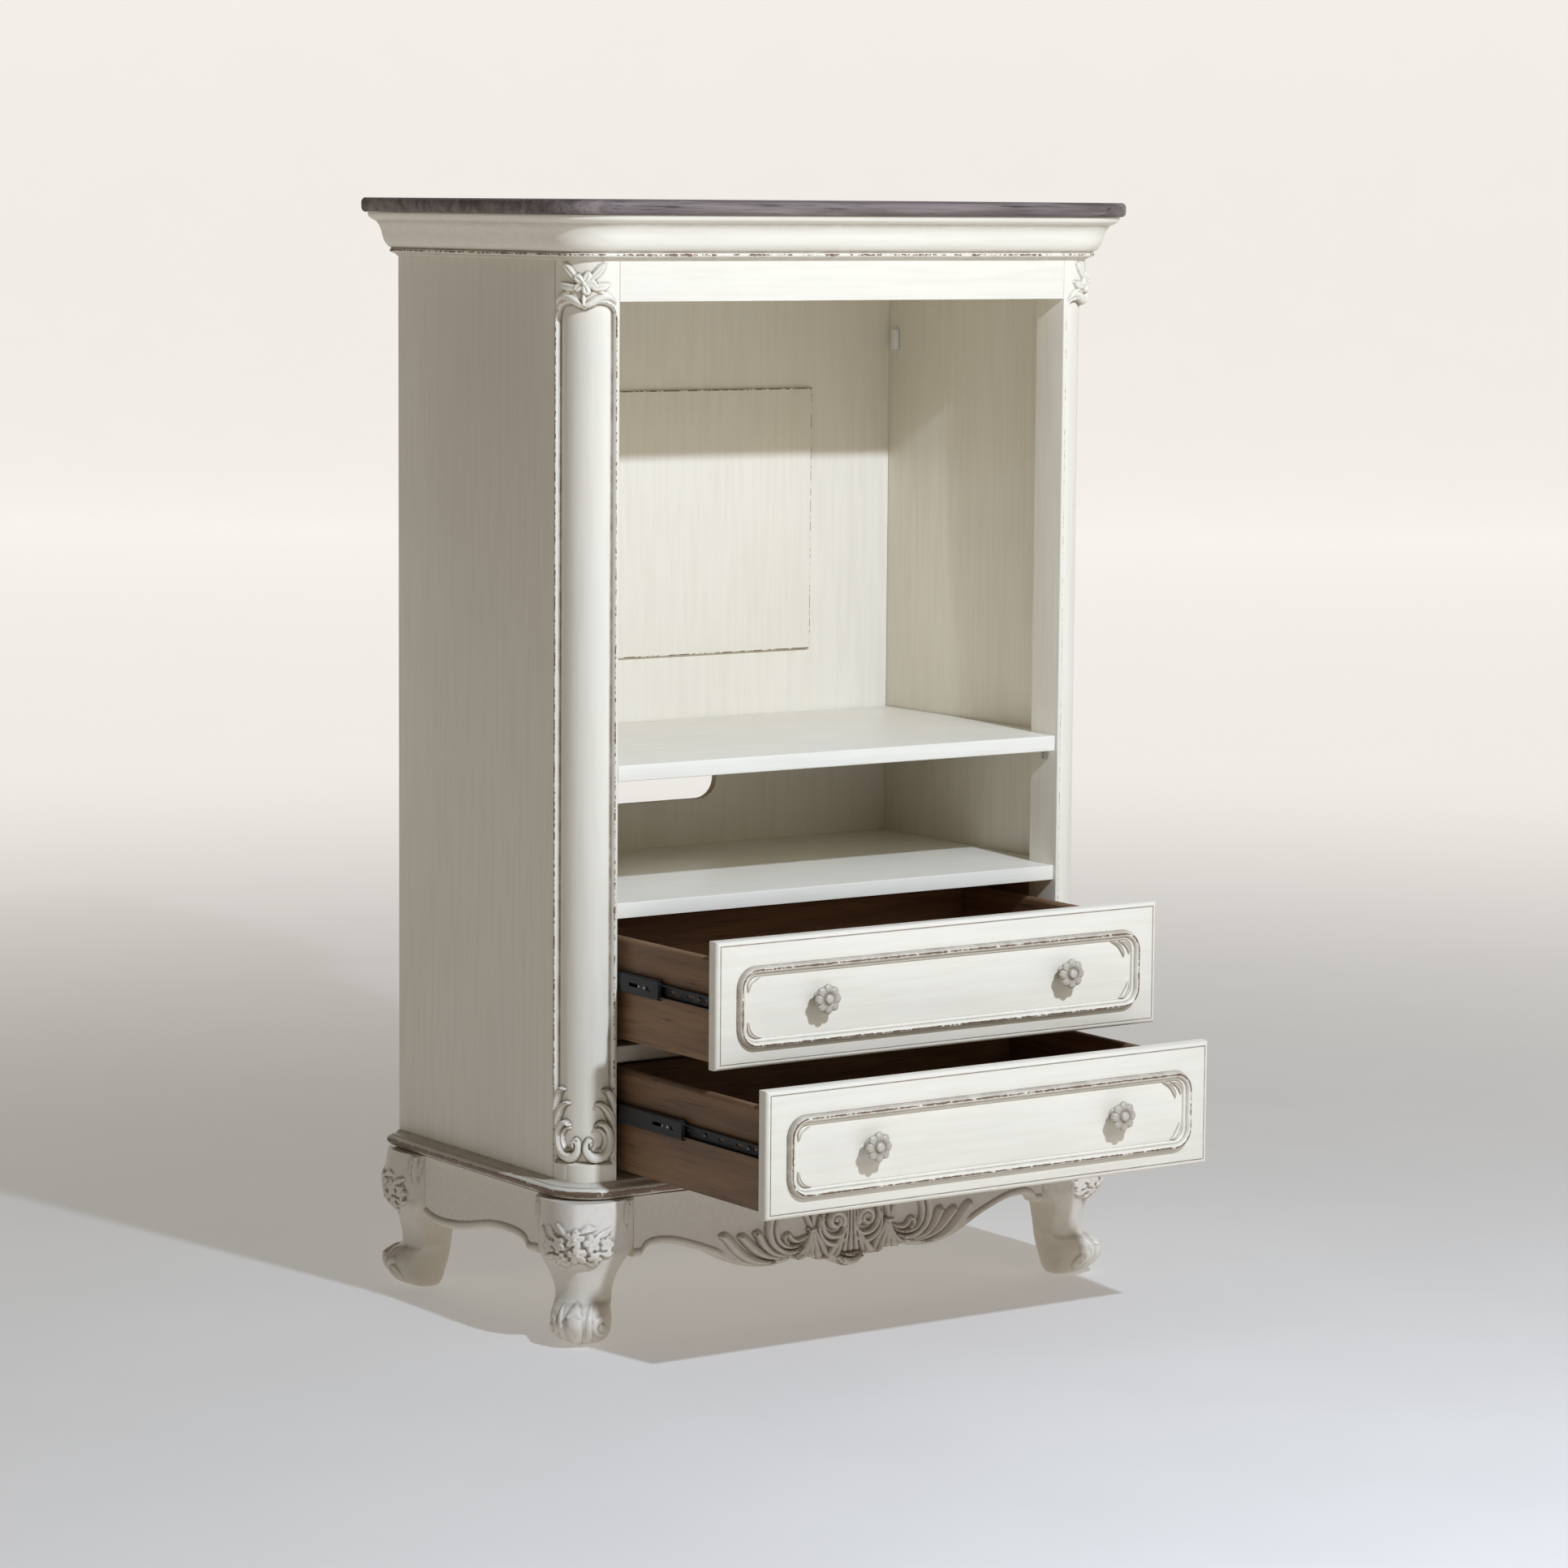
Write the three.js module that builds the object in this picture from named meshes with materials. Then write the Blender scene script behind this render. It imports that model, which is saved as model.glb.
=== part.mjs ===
// Painted armoire: an open cabinet with an adjustable shelf over two drawers that run on
// telescopic slides, under a dark wooden top and on four cabriole legs.
// Millimetres. +Z is up, +Y points to the back, and the front frame's face is at y = 0 until
// the whole cabinet is centred over the origin at the end.
import * as THREE from 'three';

// Case
const HEIGHT = 1550;
const BODY_HALF = 437; // outside of the side panels
const BODY_BACK = 478; // back edge of the side panels
const OPENING_HALF = 373.5; // inner faces of the front posts
const INNER_HALF = 406; // inner faces of the side panels
const POST_DEPTH = 62;
const CORNER_RADIUS = 52.6; // rounded front corners of the case
const BACK_THICKNESS = 11.4;
const BOARD = 22; // shelves and rails
const GAP = 0.3; // between pieces that touch

// Heights of the case's joints
const TOP_THICKNESS = 20;
const OVERHANG = 57.5; // the top beyond the case, at the front and the sides
const TOP_BACK = BODY_BACK + 5;
const CASE_TOP = HEIGHT - TOP_THICKNESS;
const CASE_BOTTOM = 201;
const MOULDING_TOP = 224.5;
const RAIL_BOTTOM = 1414.6;
const SHELF_TOP = 791.8;
const BAY_TOP = 604; // upper face of the fixed board over the drawers

// Drawers
const FRONT_HALF = 370.3;
const FRONT_HEIGHT = 172;
const FRONT_THICKNESS = 18;
const DRAWER_GAP = 8.5;
const LOWER_BOTTOM = 229.3;
const UPPER_BOTTOM = LOWER_BOTTOM + FRONT_HEIGHT + DRAWER_GAP;
const UPPER_OPEN = 236; // how far each drawer stands open at rest
const LOWER_OPEN = 355;
const BOX_HALF = 360.5;
const BOX_LENGTH = 420;
const BOX_SIDE = 12.5;
const BOX_BOTTOM_ABOVE = 7.2; // box's lower edge above the front's lower edge
const BOX_HEIGHT = 140;
const KNOB_X = 205;
const KNOB_ABOVE = 85.6;
const FRAME_ABOVE = 80.5; // middle of the moulding on the front

// Slides
const SLIDE_LENGTH = 400;
const SLIDE_FRONT = 22; // front ends, with the drawer shut
const SLIDE_ABOVE = 88.4; // slide's middle above the front's lower edge
const SHEET = 1.3;

// Legs
const LEG_BLOCK = 86; // side of the square block that the aprons meet
const ANKLE = 64;
const BLOCK_START = 138;

const paint = { color: 0xe3e0d6, roughness: 0.55, metalness: 0 };
const walnut = { color: 0x4a4340, roughness: 0.35, metalness: 0 };
const drawerWood = { color: 0x6b4f3a, roughness: 0.6, metalness: 0 };
const blackSteel = { color: 0x1d1f22, roughness: 0.4, metalness: 0.8 };
const knobPaint = { color: 0xa8a294, roughness: 0.5, metalness: 0 };

const HANDS = [['left', -1], ['right', 1]];

const armoire = new THREE.Group();

function addPart(name, geometry, finish, parent = armoire) {
  const mesh = new THREE.Mesh(geometry, new THREE.MeshStandardMaterial(finish));
  mesh.name = name;
  parent.add(mesh);
  return mesh;
}

function boxGeometry([x0, x1], [y0, y1], [z0, z1]) {
  const geometry = new THREE.BoxGeometry(x1 - x0, y1 - y0, z1 - z0);
  return geometry.translate((x0 + x1) / 2, (y0 + y1) / 2, (z0 + z1) / 2);
}

// A range on the left or right of the cabinet, for side -1 or 1.
function sided(side, inner, outer) {
  return side < 0 ? [-outer, -inner] : [inner, outer];
}

function extrude(shape, depth, options = {}) {
  return new THREE.ExtrudeGeometry(shape, { depth, bevelEnabled: false, ...options });
}

// A shape drawn in x and z, from yFront back to yBack.
function plateFacingFront(shape, yFront, yBack) {
  return extrude(shape, yBack - yFront).rotateX(Math.PI / 2).translate(0, yBack, 0);
}

// A shape drawn in y and z, from xLow to xHigh.
function plateFacingSide(shape, xLow, xHigh) {
  const geometry = extrude(shape, xHigh - xLow).rotateX(Math.PI / 2).rotateZ(Math.PI / 2);
  return geometry.translate(xLow, 0, 0);
}

function polygon(points) {
  return new THREE.Shape(points.map(([x, y]) => new THREE.Vector2(x, y)));
}

function meshGeometry(vertices, triangles) {
  const geometry = new THREE.BufferGeometry();
  geometry.setAttribute('position', new THREE.Float32BufferAttribute(vertices.flat(), 3));
  geometry.setIndex(triangles.flat());
  return geometry;
}

// Joins rings of equal count into a skin. The rings turn anticlockwise as seen from the
// last ring, and open ends are closed with the ring's own outline.
function skin(rings, { closed = false, caps = [] } = {}) {
  const count = rings[0].length;
  const triangles = [];
  const steps = closed ? rings.length : rings.length - 1;
  for (let step = 0; step < steps; step++) {
    const here = step * count;
    const next = ((step + 1) % rings.length) * count;
    for (let i = 0; i < count; i++) {
      const j = (i + 1) % count;
      triangles.push([here + i, here + j, next + j], [here + i, next + j, next + i]);
    }
  }
  const last = (rings.length - 1) * count;
  for (const [a, b, c] of caps) {
    triangles.push([a, c, b], [last + a, last + b, last + c]);
  }
  return meshGeometry(rings.flat(), triangles);
}

function loft(rings) {
  const fan = [];
  for (let i = 1; i < rings[0].length - 1; i++) {
    fan.push([0, i, i + 1]);
  }
  return skin(rings, { caps: fan });
}

// Sweeps a section of [out, z] points along a plan path of { x, y, nx, ny }. The section
// turns anticlockwise with out to the right, and the path has its outside on the left.
function sweep(path, section, closed = false) {
  const rings = path.map(({ x, y, nx, ny }) => (
    section.map(([out, z]) => [x + nx * out, y + ny * out, z])));
  const outline = section.map(([out, z]) => new THREE.Vector2(out, z));
  const caps = closed ? [] : THREE.ShapeUtils.triangulateShape(outline, []);
  return skin(rings, { closed, caps });
}

function arcPath(cx, cy, radius, fromDegrees, toDegrees, steps) {
  const path = [];
  for (let i = 0; i <= steps; i++) {
    const angle = THREE.MathUtils.degToRad(fromDegrees + (toDegrees - fromDegrees) * i / steps);
    const nx = Math.cos(angle);
    const ny = Math.sin(angle);
    path.push({ x: cx + radius * nx, y: cy + radius * ny, nx, ny });
  }
  return path;
}

// The case's outline in plan, from the right side round the front to the left side.
function frontOutline(ySide) {
  const inset = BODY_HALF - CORNER_RADIUS;
  return [
    { x: BODY_HALF, y: ySide, nx: 1, ny: 0 },
    ...arcPath(inset, CORNER_RADIUS, CORNER_RADIUS, 0, -90, 8),
    ...arcPath(-inset, CORNER_RADIUS, CORNER_RADIUS, -90, -180, 8),
    { x: -BODY_HALF, y: ySide, nx: -1, ny: 0 },
  ];
}

function addTopSlab() {
  const half = BODY_HALF + OVERHANG;
  const radius = 110;
  const round = 6;
  const shape = new THREE.Shape();
  shape.moveTo(-half + round, TOP_BACK - round);
  shape.lineTo(-half + round, -OVERHANG + radius);
  shape.absarc(-half + radius, -OVERHANG + radius, radius - round, Math.PI, 1.5 * Math.PI);
  shape.absarc(half - radius, -OVERHANG + radius, radius - round, 1.5 * Math.PI, 2 * Math.PI);
  shape.lineTo(half - round, TOP_BACK - round);
  const geometry = new THREE.ExtrudeGeometry(shape, {
    depth: TOP_THICKNESS - 2 * round,
    bevelThickness: round,
    bevelSize: round,
    bevelSegments: 3,
    curveSegments: 10,
  });
  addPart('top_slab', geometry.translate(0, 0, CASE_TOP + round), walnut);
}

// Fillet, nose, long ogee and a small bead over a cove, from the top down.
const CORNICE_SECTION = [
  [48.7, 0], [48.7, -2.9], [46.4, -6.6], [41.4, -10], [35.4, -13.3], [30, -19],
  [26.9, -25.6], [24.8, -33], [21.8, -40.8], [16.7, -46.5], [11.9, -49.3], [12.6, -51.5],
  [11.4, -54.6], [6.5, -56.4], [2.2, -59.2], [GAP, -61],
];

function addCornice() {
  const section = CORNICE_SECTION.map(([out, z]) => [out, CASE_TOP - GAP + z]);
  section.push([GAP, CASE_TOP - GAP]);
  section.reverse();
  const split = POST_DEPTH + 18;
  addPart('cornice_front', sweep(frontOutline(split), section), paint);
  const right = { x: BODY_HALF, nx: 1, ny: 0 };
  const left = { x: -BODY_HALF, nx: -1, ny: 0 };
  const ends = [split + GAP, BODY_BACK];
  const leftPath = ends.map((y) => ({ ...left, y }));
  const rightPath = ends.map((y) => ({ ...right, y })).reverse();
  addPart('cornice_left', sweep(leftPath, section), paint);
  addPart('cornice_right', sweep(rightPath, section), paint);
}

// Cove, rounded nose and a small step, from the top down.
const BASE_SECTION = [
  [1.5, 0], [4, -2.6], [10, -5.2], [14, -6], [18.5, -7.6], [20, -11.5], [18.8, -16],
  [14, -18.8], [8, -20.4], [6, -23.5],
];

function addBaseMoulding() {
  const section = BASE_SECTION.map(([out, z]) => [out, MOULDING_TOP + z]);
  section.push([GAP, CASE_BOTTOM], [GAP, MOULDING_TOP]);
  section.reverse();
  addPart('base_moulding', sweep(frontOutline(BODY_BACK), section), paint);
}

function addPosts() {
  const inset = BODY_HALF - CORNER_RADIUS;
  const corner = arcPath(inset, CORNER_RADIUS, CORNER_RADIUS, -90, 0, 8);
  const outline = [
    [OPENING_HALF, POST_DEPTH], [OPENING_HALF, 0], ...corner.map(({ x, y }) => [x, y]),
    [BODY_HALF, POST_DEPTH],
  ];
  for (const [hand, side] of HANDS) {
    const shape = polygon(outline.map(([x, y]) => [side * x, y]));
    const geometry = extrude(shape, CASE_TOP - GAP - CASE_BOTTOM);
    addPart(`${hand}_front_post`, geometry.translate(0, 0, CASE_BOTTOM), paint);
  }
}

function addSidePanels() {
  for (const [hand, side] of HANDS) {
    const x = sided(side, INNER_HALF, BODY_HALF);
    const y = [POST_DEPTH + GAP, BODY_BACK];
    addPart(`${hand}_side_panel`, boxGeometry(x, y, [CASE_BOTTOM, CASE_TOP - GAP]), paint);
  }
}

// A board between the side panels, cut back on both sides to pass between the posts.
function addNotchedBoard(name, [yFront, yBack], [z0, z1], clearance = GAP) {
  const wide = INNER_HALF - clearance;
  const narrow = OPENING_HALF - clearance;
  const yNotch = POST_DEPTH + clearance;
  const shape = polygon([
    [-narrow, yFront], [narrow, yFront], [narrow, yNotch], [wide, yNotch], [wide, yBack],
    [-wide, yBack], [-wide, yNotch], [-narrow, yNotch],
  ]);
  addPart(name, extrude(shape, z1 - z0).translate(0, 0, z0), paint);
}

function addBoards() {
  const back = BODY_BACK - BACK_THICKNESS - GAP;
  const railDepth = 20;
  const topThickness = 18;
  const bottomThickness = 20;
  addNotchedBoard('drawer_bay_top', [5, back], [BAY_TOP - 21, BAY_TOP]);
  addNotchedBoard('bottom_board', [1, back], [MOULDING_TOP - bottomThickness, MOULDING_TOP]);
  addNotchedBoard('inner_top_panel', [railDepth + GAP, back],
    [CASE_TOP - GAP - topThickness, CASE_TOP - GAP]);
  addNotchedBoard('adjustable_shelf', [3, back - 2], [SHELF_TOP - BOARD, SHELF_TOP], 2);
  const between = [-OPENING_HALF + GAP, OPENING_HALF - GAP];
  addPart('top_rail', boxGeometry(between, [0, railDepth], [RAIL_BOTTOM, CASE_TOP - GAP]), paint);
  const dividerBottom = 383;
  const divider = boxGeometry(between, [FRONT_THICKNESS + 2, POST_DEPTH],
    [dividerBottom, dividerBottom + BOARD]);
  addPart('drawer_divider_rail', divider, paint);
}

// The back has a slot with round ends for cables, and a raised board is fixed on its face.
function addBack() {
  const half = INNER_HALF - GAP;
  const shape = polygon([
    [-half, CASE_BOTTOM], [half, CASE_BOTTOM], [half, CASE_TOP - GAP], [-half, CASE_TOP - GAP],
  ]);
  const slotRadius = 30;
  const slotReach = 68; // from the middle to the centre of each round end
  const slotHeight = 701;
  const slot = new THREE.Path();
  slot.absarc(slotReach, slotHeight, slotRadius, -Math.PI / 2, Math.PI / 2);
  slot.absarc(-slotReach, slotHeight, slotRadius, Math.PI / 2, 1.5 * Math.PI);
  shape.holes.push(slot);
  const yFront = BODY_BACK - BACK_THICKNESS;
  addPart('back_panel', plateFacingFront(shape, yFront, BODY_BACK), paint);
  const boardThickness = 6;
  const board = boxGeometry([-261, 261], [yFront - GAP - boardThickness, yFront - GAP], [886, 1274]);
  addPart('back_board', board, paint);
  const clip = boxGeometry([INNER_HALF - 8, INNER_HALF - GAP], [yFront - 26, yFront - 14], [1330, 1360]);
  addPart('corner_clip', clip, paint);
}

// Bent metal supports: a plate against the wall and a ledge under the shelf.
function addShelfSupports() {
  const ledge = 11;
  const thickness = 2.5;
  const height = 14;
  const width = 9;
  const top = SHELF_TOP - BOARD - GAP;
  const places = [
    ['front_left', -1, OPENING_HALF, 24], ['front_right', 1, OPENING_HALF, 24],
    ['back_left', -1, INNER_HALF, 430], ['back_right', 1, INNER_HALF, 430],
  ];
  for (const [place, side, wall, y] of places) {
    const face = side * (wall - GAP);
    const shape = polygon([
      [face, top], [face, top - height], [face - side * thickness, top - height],
      [face - side * thickness, top - thickness], [face - side * ledge, top - thickness],
      [face - side * ledge, top],
    ]);
    addPart(`shelf_support_${place}`, plateFacingFront(shape, y, y + width), blackSteel);
  }
}

// Cabriole leg, cut on the diagonal. Each row is a level: height, how far the outer and inner
// surfaces lie beyond the case's square corner, and the half width across the diagonal.
const LEG_LEVELS = [
  [0, -26, -55, 17], [1.5, -20, -58, 22], [4, -14, -60, 28], [9, -1, -63, 34],
  [18, 9, -66, 39.5], [29, 17, -69, 42], [39, 19, -72, 42], [46, 17, -73.5, 41],
  [53, 10, -75, 39.5], [59, 0, -76, 39], [ANKLE, -6, -76.5, 39], [76, -6, -78, 39.5],
  [88, -4, -80, 43], [100, -1, -82, 48], [110, 2, -87, 53.5], [119, 8, -98, 59],
  [128, 15, -111, 64], [BLOCK_START, 19, -121.6, 66.5], [155, 21, -121.6, 66.5],
  [175, 20, -121.6, 66.5], [CASE_BOTTOM - GAP, 15, -121.6, 66.5],
];

// One level's outline: round on the outside, with inner faces that flatten upwards until they
// are the two square faces of the block.
function legRing([z, outer, inner, halfWidth]) {
  const squareness = THREE.MathUtils.clamp((z - ANKLE) / (BLOCK_START - ANKLE), 0, 1);
  const middle = THREE.MathUtils.lerp((outer + inner) / 2, inner + halfWidth, squareness);
  const innerPower = THREE.MathUtils.lerp(1.5, 1, squareness);
  const outerPower = THREE.MathUtils.lerp(2, 1.6, squareness);
  const ring = [];
  const count = 20;
  for (let i = 0; i < count; i++) {
    const angle = 2 * Math.PI * i / count;
    const along = Math.cos(angle);
    const across = Math.sin(angle);
    const power = along > 0 ? outerPower : innerPower;
    const reach = along > 0 ? outer - middle : middle - inner;
    const scale = (Math.abs(along) ** power + Math.abs(across) ** power) ** (-1 / power);
    ring.push([middle + reach * along * scale, halfWidth * across * scale, z]);
  }
  return ring;
}

function addLegs() {
  const corners = [
    ['front_left_leg', -BODY_HALF, 0, 225], ['front_right_leg', BODY_HALF, 0, 315],
    ['back_right_leg', BODY_HALF, BODY_BACK, 45], ['back_left_leg', -BODY_HALF, BODY_BACK, 135],
  ];
  for (const [name, x, y, outward] of corners) {
    const leg = addPart(name, loft(LEG_LEVELS.map(legRing)), paint);
    leg.position.set(x, y, 0);
    leg.rotation.z = THREE.MathUtils.degToRad(outward);
  }
}

const APRON_TOP = CASE_BOTTOM - GAP;
const APRON_PROUD = 8; // flush with the corners of the leg blocks

// Lower edge of the front apron from its middle to the leg: a pointed cartouche, a hanging
// leaf scroll, an arch and the step at the leg. The other half mirrors it.
const FRONT_EDGE = [
  [0, 65.4], [10, 67.5], [17, 72], [24, 77.5], [37, 79], [47, 79.5], [57, 82], [67, 86.5],
  [77, 84.5], [87, 84.5], [95, 86.5], [107, 82.5], [128, 80.5], [147, 81], [166, 83.5],
  [185, 88], [204, 95], [219, 104], [242, 113.5], [272, 123.8], [290, 128.5], [309, 130.3],
  [322, 129.5], [331, 126], [336, 121], [338, 116.5],
];

// Lower edge of a side apron, from the front leg to the back leg.
const SIDE_EDGE = [
  [94, 116], [111, 115], [118, 123], [131, 127.5], [150, 129.8], [185, 130], [216, 127],
  [242, 121.7], [268, 116], [294, 111.4], [322, 108.4], [350, 107.3], [372, 109], [392, 115],
];

// The front apron bows forward from the legs to its middle.
function addFrontApron() {
  const half = BODY_HALF - LEG_BLOCK - GAP;
  const bow = 13;
  const bowReach = 220;
  const yBack = 16;
  const edge = [...FRONT_EDGE, [half, FRONT_EDGE.at(-1)[1]]];
  const mirrored = edge.slice(1).reverse().map(([x, z]) => [-x, z]);
  const rings = [...mirrored, ...edge].map(([x, z]) => {
    const yFront = -APRON_PROUD - bow * THREE.MathUtils.smoothstep(half - Math.abs(x), 0, bowReach);
    return [[x, yFront, z], [x, yBack, z], [x, yBack, APRON_TOP], [x, yFront, APRON_TOP]];
  });
  addPart('front_apron', loft(rings), paint);
}

function addOtherAprons() {
  const thickness = 22;
  const ySpan = [LEG_BLOCK + GAP, BODY_BACK - LEG_BLOCK - GAP];
  const side = polygon([
    [ySpan[0], APRON_TOP], [ySpan[0], SIDE_EDGE[0][1]], ...SIDE_EDGE.slice(0, -1),
    [ySpan[1], SIDE_EDGE.at(-1)[1]], [ySpan[1], APRON_TOP],
  ]);
  const outer = BODY_HALF + APRON_PROUD;
  addPart('left_apron', plateFacingSide(side, -outer, -outer + thickness), paint);
  addPart('right_apron', plateFacingSide(side, outer - thickness, outer), paint);
  const half = BODY_HALF - LEG_BLOCK - GAP;
  const yBack = BODY_BACK - 3;
  addPart('back_apron', boxGeometry([-half, half], [yBack - thickness, yBack], [125, APRON_TOP]), paint);
}

// Drawer front: each row of the profile is a depth from the face and an inset from the edge.
const FRONT_PROFILE = [
  [FRONT_THICKNESS, 0], [5, 0], [2.8, 0.6], [1, 2.2], [0, 4.6], [0, 5.8], [1.3, 6.2],
  [1.3, 7.4], [0, 7.8],
];

function drawerFrontGeometry() {
  const rings = FRONT_PROFILE.map(([y, inset]) => {
    const x = FRONT_HALF - inset;
    const z0 = inset;
    const z1 = FRONT_HEIGHT - inset;
    return [[-x, y, z0], [x, y, z0], [x, y, z1], [-x, y, z1]];
  });
  return loft(rings);
}

// A half-round moulding with a small inner step, bent round a rectangle with round corners.
function frameGeometry() {
  const halfWidth = 338.5;
  const halfHeight = 56;
  const radius = 30;
  const cx = halfWidth - radius;
  const cy = halfHeight - radius;
  const steps = 5;
  const path = [
    ...arcPath(cx, cy, radius, 90, 0, steps), ...arcPath(cx, -cy, radius, 0, -90, steps),
    ...arcPath(-cx, -cy, radius, 270, 180, steps), ...arcPath(-cx, cy, radius, 180, 90, steps),
  ];
  const section = [
    [0, 0], [-1.6, 5.5], [-3.8, 8.2], [-6, 8.6], [-8.5, 7], [-10, 3.6], [-13, 2.2], [-14.5, 0],
  ];
  return sweep(path, section, true).rotateX(Math.PI / 2);
}

// Flower knob: rows are the distance out from the drawer, the radius and the petals' depth.
const KNOB_LEVELS = [
  [0, 9.5, 0], [2, 9.5, 0], [4, 6.5, 0], [10, 6.5, 0], [14, 12, 0.02], [17.5, 18.2, 0.07],
  [21, 18.8, 0.09], [24, 15, 0.08], [24.6, 9.5, 0.02], [23.6, 7.8, 0], [26, 6.6, 0], [27, 3, 0],
];

function knobGeometry() {
  const petals = 8;
  const count = petals * 3;
  const rings = KNOB_LEVELS.map(([out, radius, depth]) => {
    const ring = [];
    for (let i = 0; i < count; i++) {
      const angle = 2 * Math.PI * i / count;
      const r = radius * (1 + depth * Math.cos(petals * angle));
      ring.push([r * Math.cos(angle), -out, r * Math.sin(angle)]);
    }
    return ring;
  });
  return loft(rings);
}

// Box side: rounded along the top, with a groove for the bottom on its inner face.
const GROOVE = { above: 8, height: 6.6, depth: 6 };

function drawerSideGeometry(side, y) {
  const inner = BOX_HALF - BOX_SIDE;
  const radius = BOX_SIDE / 2;
  const shape = new THREE.Shape();
  shape.moveTo(inner, 0);
  shape.lineTo(BOX_HALF, 0);
  shape.absarc(inner + radius, BOX_HEIGHT - radius, radius, 0, Math.PI);
  shape.lineTo(inner, GROOVE.above + GROOVE.height);
  shape.lineTo(inner + GROOVE.depth, GROOVE.above + GROOVE.height);
  shape.lineTo(inner + GROOVE.depth, GROOVE.above);
  shape.lineTo(inner, GROOVE.above);
  const points = shape.getPoints(6).map(({ x, y: z }) => [side * x, z]);
  return plateFacingFront(polygon(points), ...y);
}

// The group's y is how far the drawer stands open, and its z is the front's lower edge.
function addDrawer(name, bottom, open) {
  const drawer = new THREE.Group();
  drawer.position.set(0, -open, bottom);
  armoire.add(drawer);
  addPart(`${name}_front`, drawerFrontGeometry(), paint, drawer);
  const frame = addPart(`${name}_front_moulding`, frameGeometry(), paint, drawer);
  frame.position.set(0, -GAP, FRAME_ABOVE);
  for (const [hand, side] of HANDS) {
    const knob = addPart(`${name}_${hand}_knob`, knobGeometry(), knobPaint, drawer);
    knob.position.set(side * KNOB_X, -GAP, KNOB_ABOVE);
    const y = [FRONT_THICKNESS + GAP, FRONT_THICKNESS + BOX_LENGTH];
    const wall = addPart(`${name}_${hand}_side`, drawerSideGeometry(side, y), drawerWood, drawer);
    wall.position.z = BOX_BOTTOM_ABOVE;
  }
  const inner = BOX_HALF - BOX_SIDE - GAP;
  const backY = FRONT_THICKNESS + BOX_LENGTH - BOX_SIDE;
  const backTop = BOX_BOTTOM_ABOVE + BOX_HEIGHT - 8;
  const backZ = [BOX_BOTTOM_ABOVE + GROOVE.above + GROOVE.height + GAP, backTop];
  const back = boxGeometry([-inner, inner], [backY, backY + BOX_SIDE], backZ);
  addPart(`${name}_back`, back, drawerWood, drawer);
  const reach = inner + GROOVE.depth;
  const floorZ = BOX_BOTTOM_ABOVE + GROOVE.above + GAP;
  const floor = boxGeometry([-reach, reach], [FRONT_THICKNESS + GAP, backY + BOX_SIDE - 2],
    [floorZ, floorZ + GROOVE.height - 2 * GAP]);
  addPart(`${name}_bottom`, floor, drawerWood, drawer);
}

// A channel of bent sheet: its web stands at xWeb and its flanges reach to xLip.
function channelGeometry(xWeb, xLip, height) {
  const into = Math.sign(xLip - xWeb);
  const half = height / 2;
  const shape = polygon([
    [xWeb, -half], [xLip, -half], [xLip, -half + SHEET], [xWeb + into * SHEET, -half + SHEET],
    [xWeb + into * SHEET, half - SHEET], [xLip, half - SHEET], [xLip, half], [xWeb, half],
  ]);
  return plateFacingFront(shape, SLIDE_FRONT, SLIDE_FRONT + SLIDE_LENGTH);
}

// Three nested channels on each side: on the case, floating between, and on the drawer.
function addSlides(name, bottom, open) {
  const wall = OPENING_HALF - GAP;
  const box = BOX_HALF + GAP;
  const members = [
    ['case_slide', 0, wall, wall - 9.7, 35],
    ['middle_slide', open / 2, wall - 1.9, box + 2.5, 27],
    ['drawer_slide', open, box, wall - 4.5, 18],
  ];
  for (const [hand, side] of HANDS) {
    for (const [member, out, xWeb, xLip, height] of members) {
      const geometry = channelGeometry(side * xWeb, side * xLip, height);
      const mesh = addPart(`${name}_${hand}_${member}`, geometry, blackSteel);
      mesh.position.set(0, -out, bottom + SLIDE_ABOVE);
    }
  }
}

// Boards that bring the slides out from the side panels to the line of the posts.
function addSlideBoards() {
  const y = [POST_DEPTH + GAP, BODY_BACK - BACK_THICKNESS - GAP];
  const z = [MOULDING_TOP + GAP, BAY_TOP - 21 - GAP];
  for (const [hand, side] of HANDS) {
    const x = sided(side, OPENING_HALF, INNER_HALF - GAP);
    addPart(`${hand}_slide_board`, boxGeometry(x, y, z), drawerWood);
  }
}

addTopSlab();
addCornice();
addBaseMoulding();
addPosts();
addSidePanels();
addBoards();
addBack();
addShelfSupports();
addLegs();
addFrontApron();
addOtherAprons();
addSlideBoards();
addDrawer('upper_drawer', UPPER_BOTTOM, UPPER_OPEN);
addDrawer('lower_drawer', LOWER_BOTTOM, LOWER_OPEN);
addSlides('upper', UPPER_BOTTOM, UPPER_OPEN);
addSlides('lower', LOWER_BOTTOM, LOWER_OPEN);

// The origin is on the floor, under the middle of everything at rest.
const span = new THREE.Box3().setFromObject(armoire, true);
armoire.position.y = -(span.min.y + span.max.y) / 2;

export default armoire;
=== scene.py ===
"""Looks for a painted armoire with two drawers: carved posts, knees and aprons, antique white
paint with a brown glaze, a dark wooden top and black telescopic slides.

Shapes are worked out in millimetres with the front frame's face at y = 0, and are placed on the
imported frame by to_frame().
"""
import math

import bmesh
import bpy
import numpy as np
from mathutils import Matrix, Vector
from mathutils.geometry import tessellate_polygon


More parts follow.
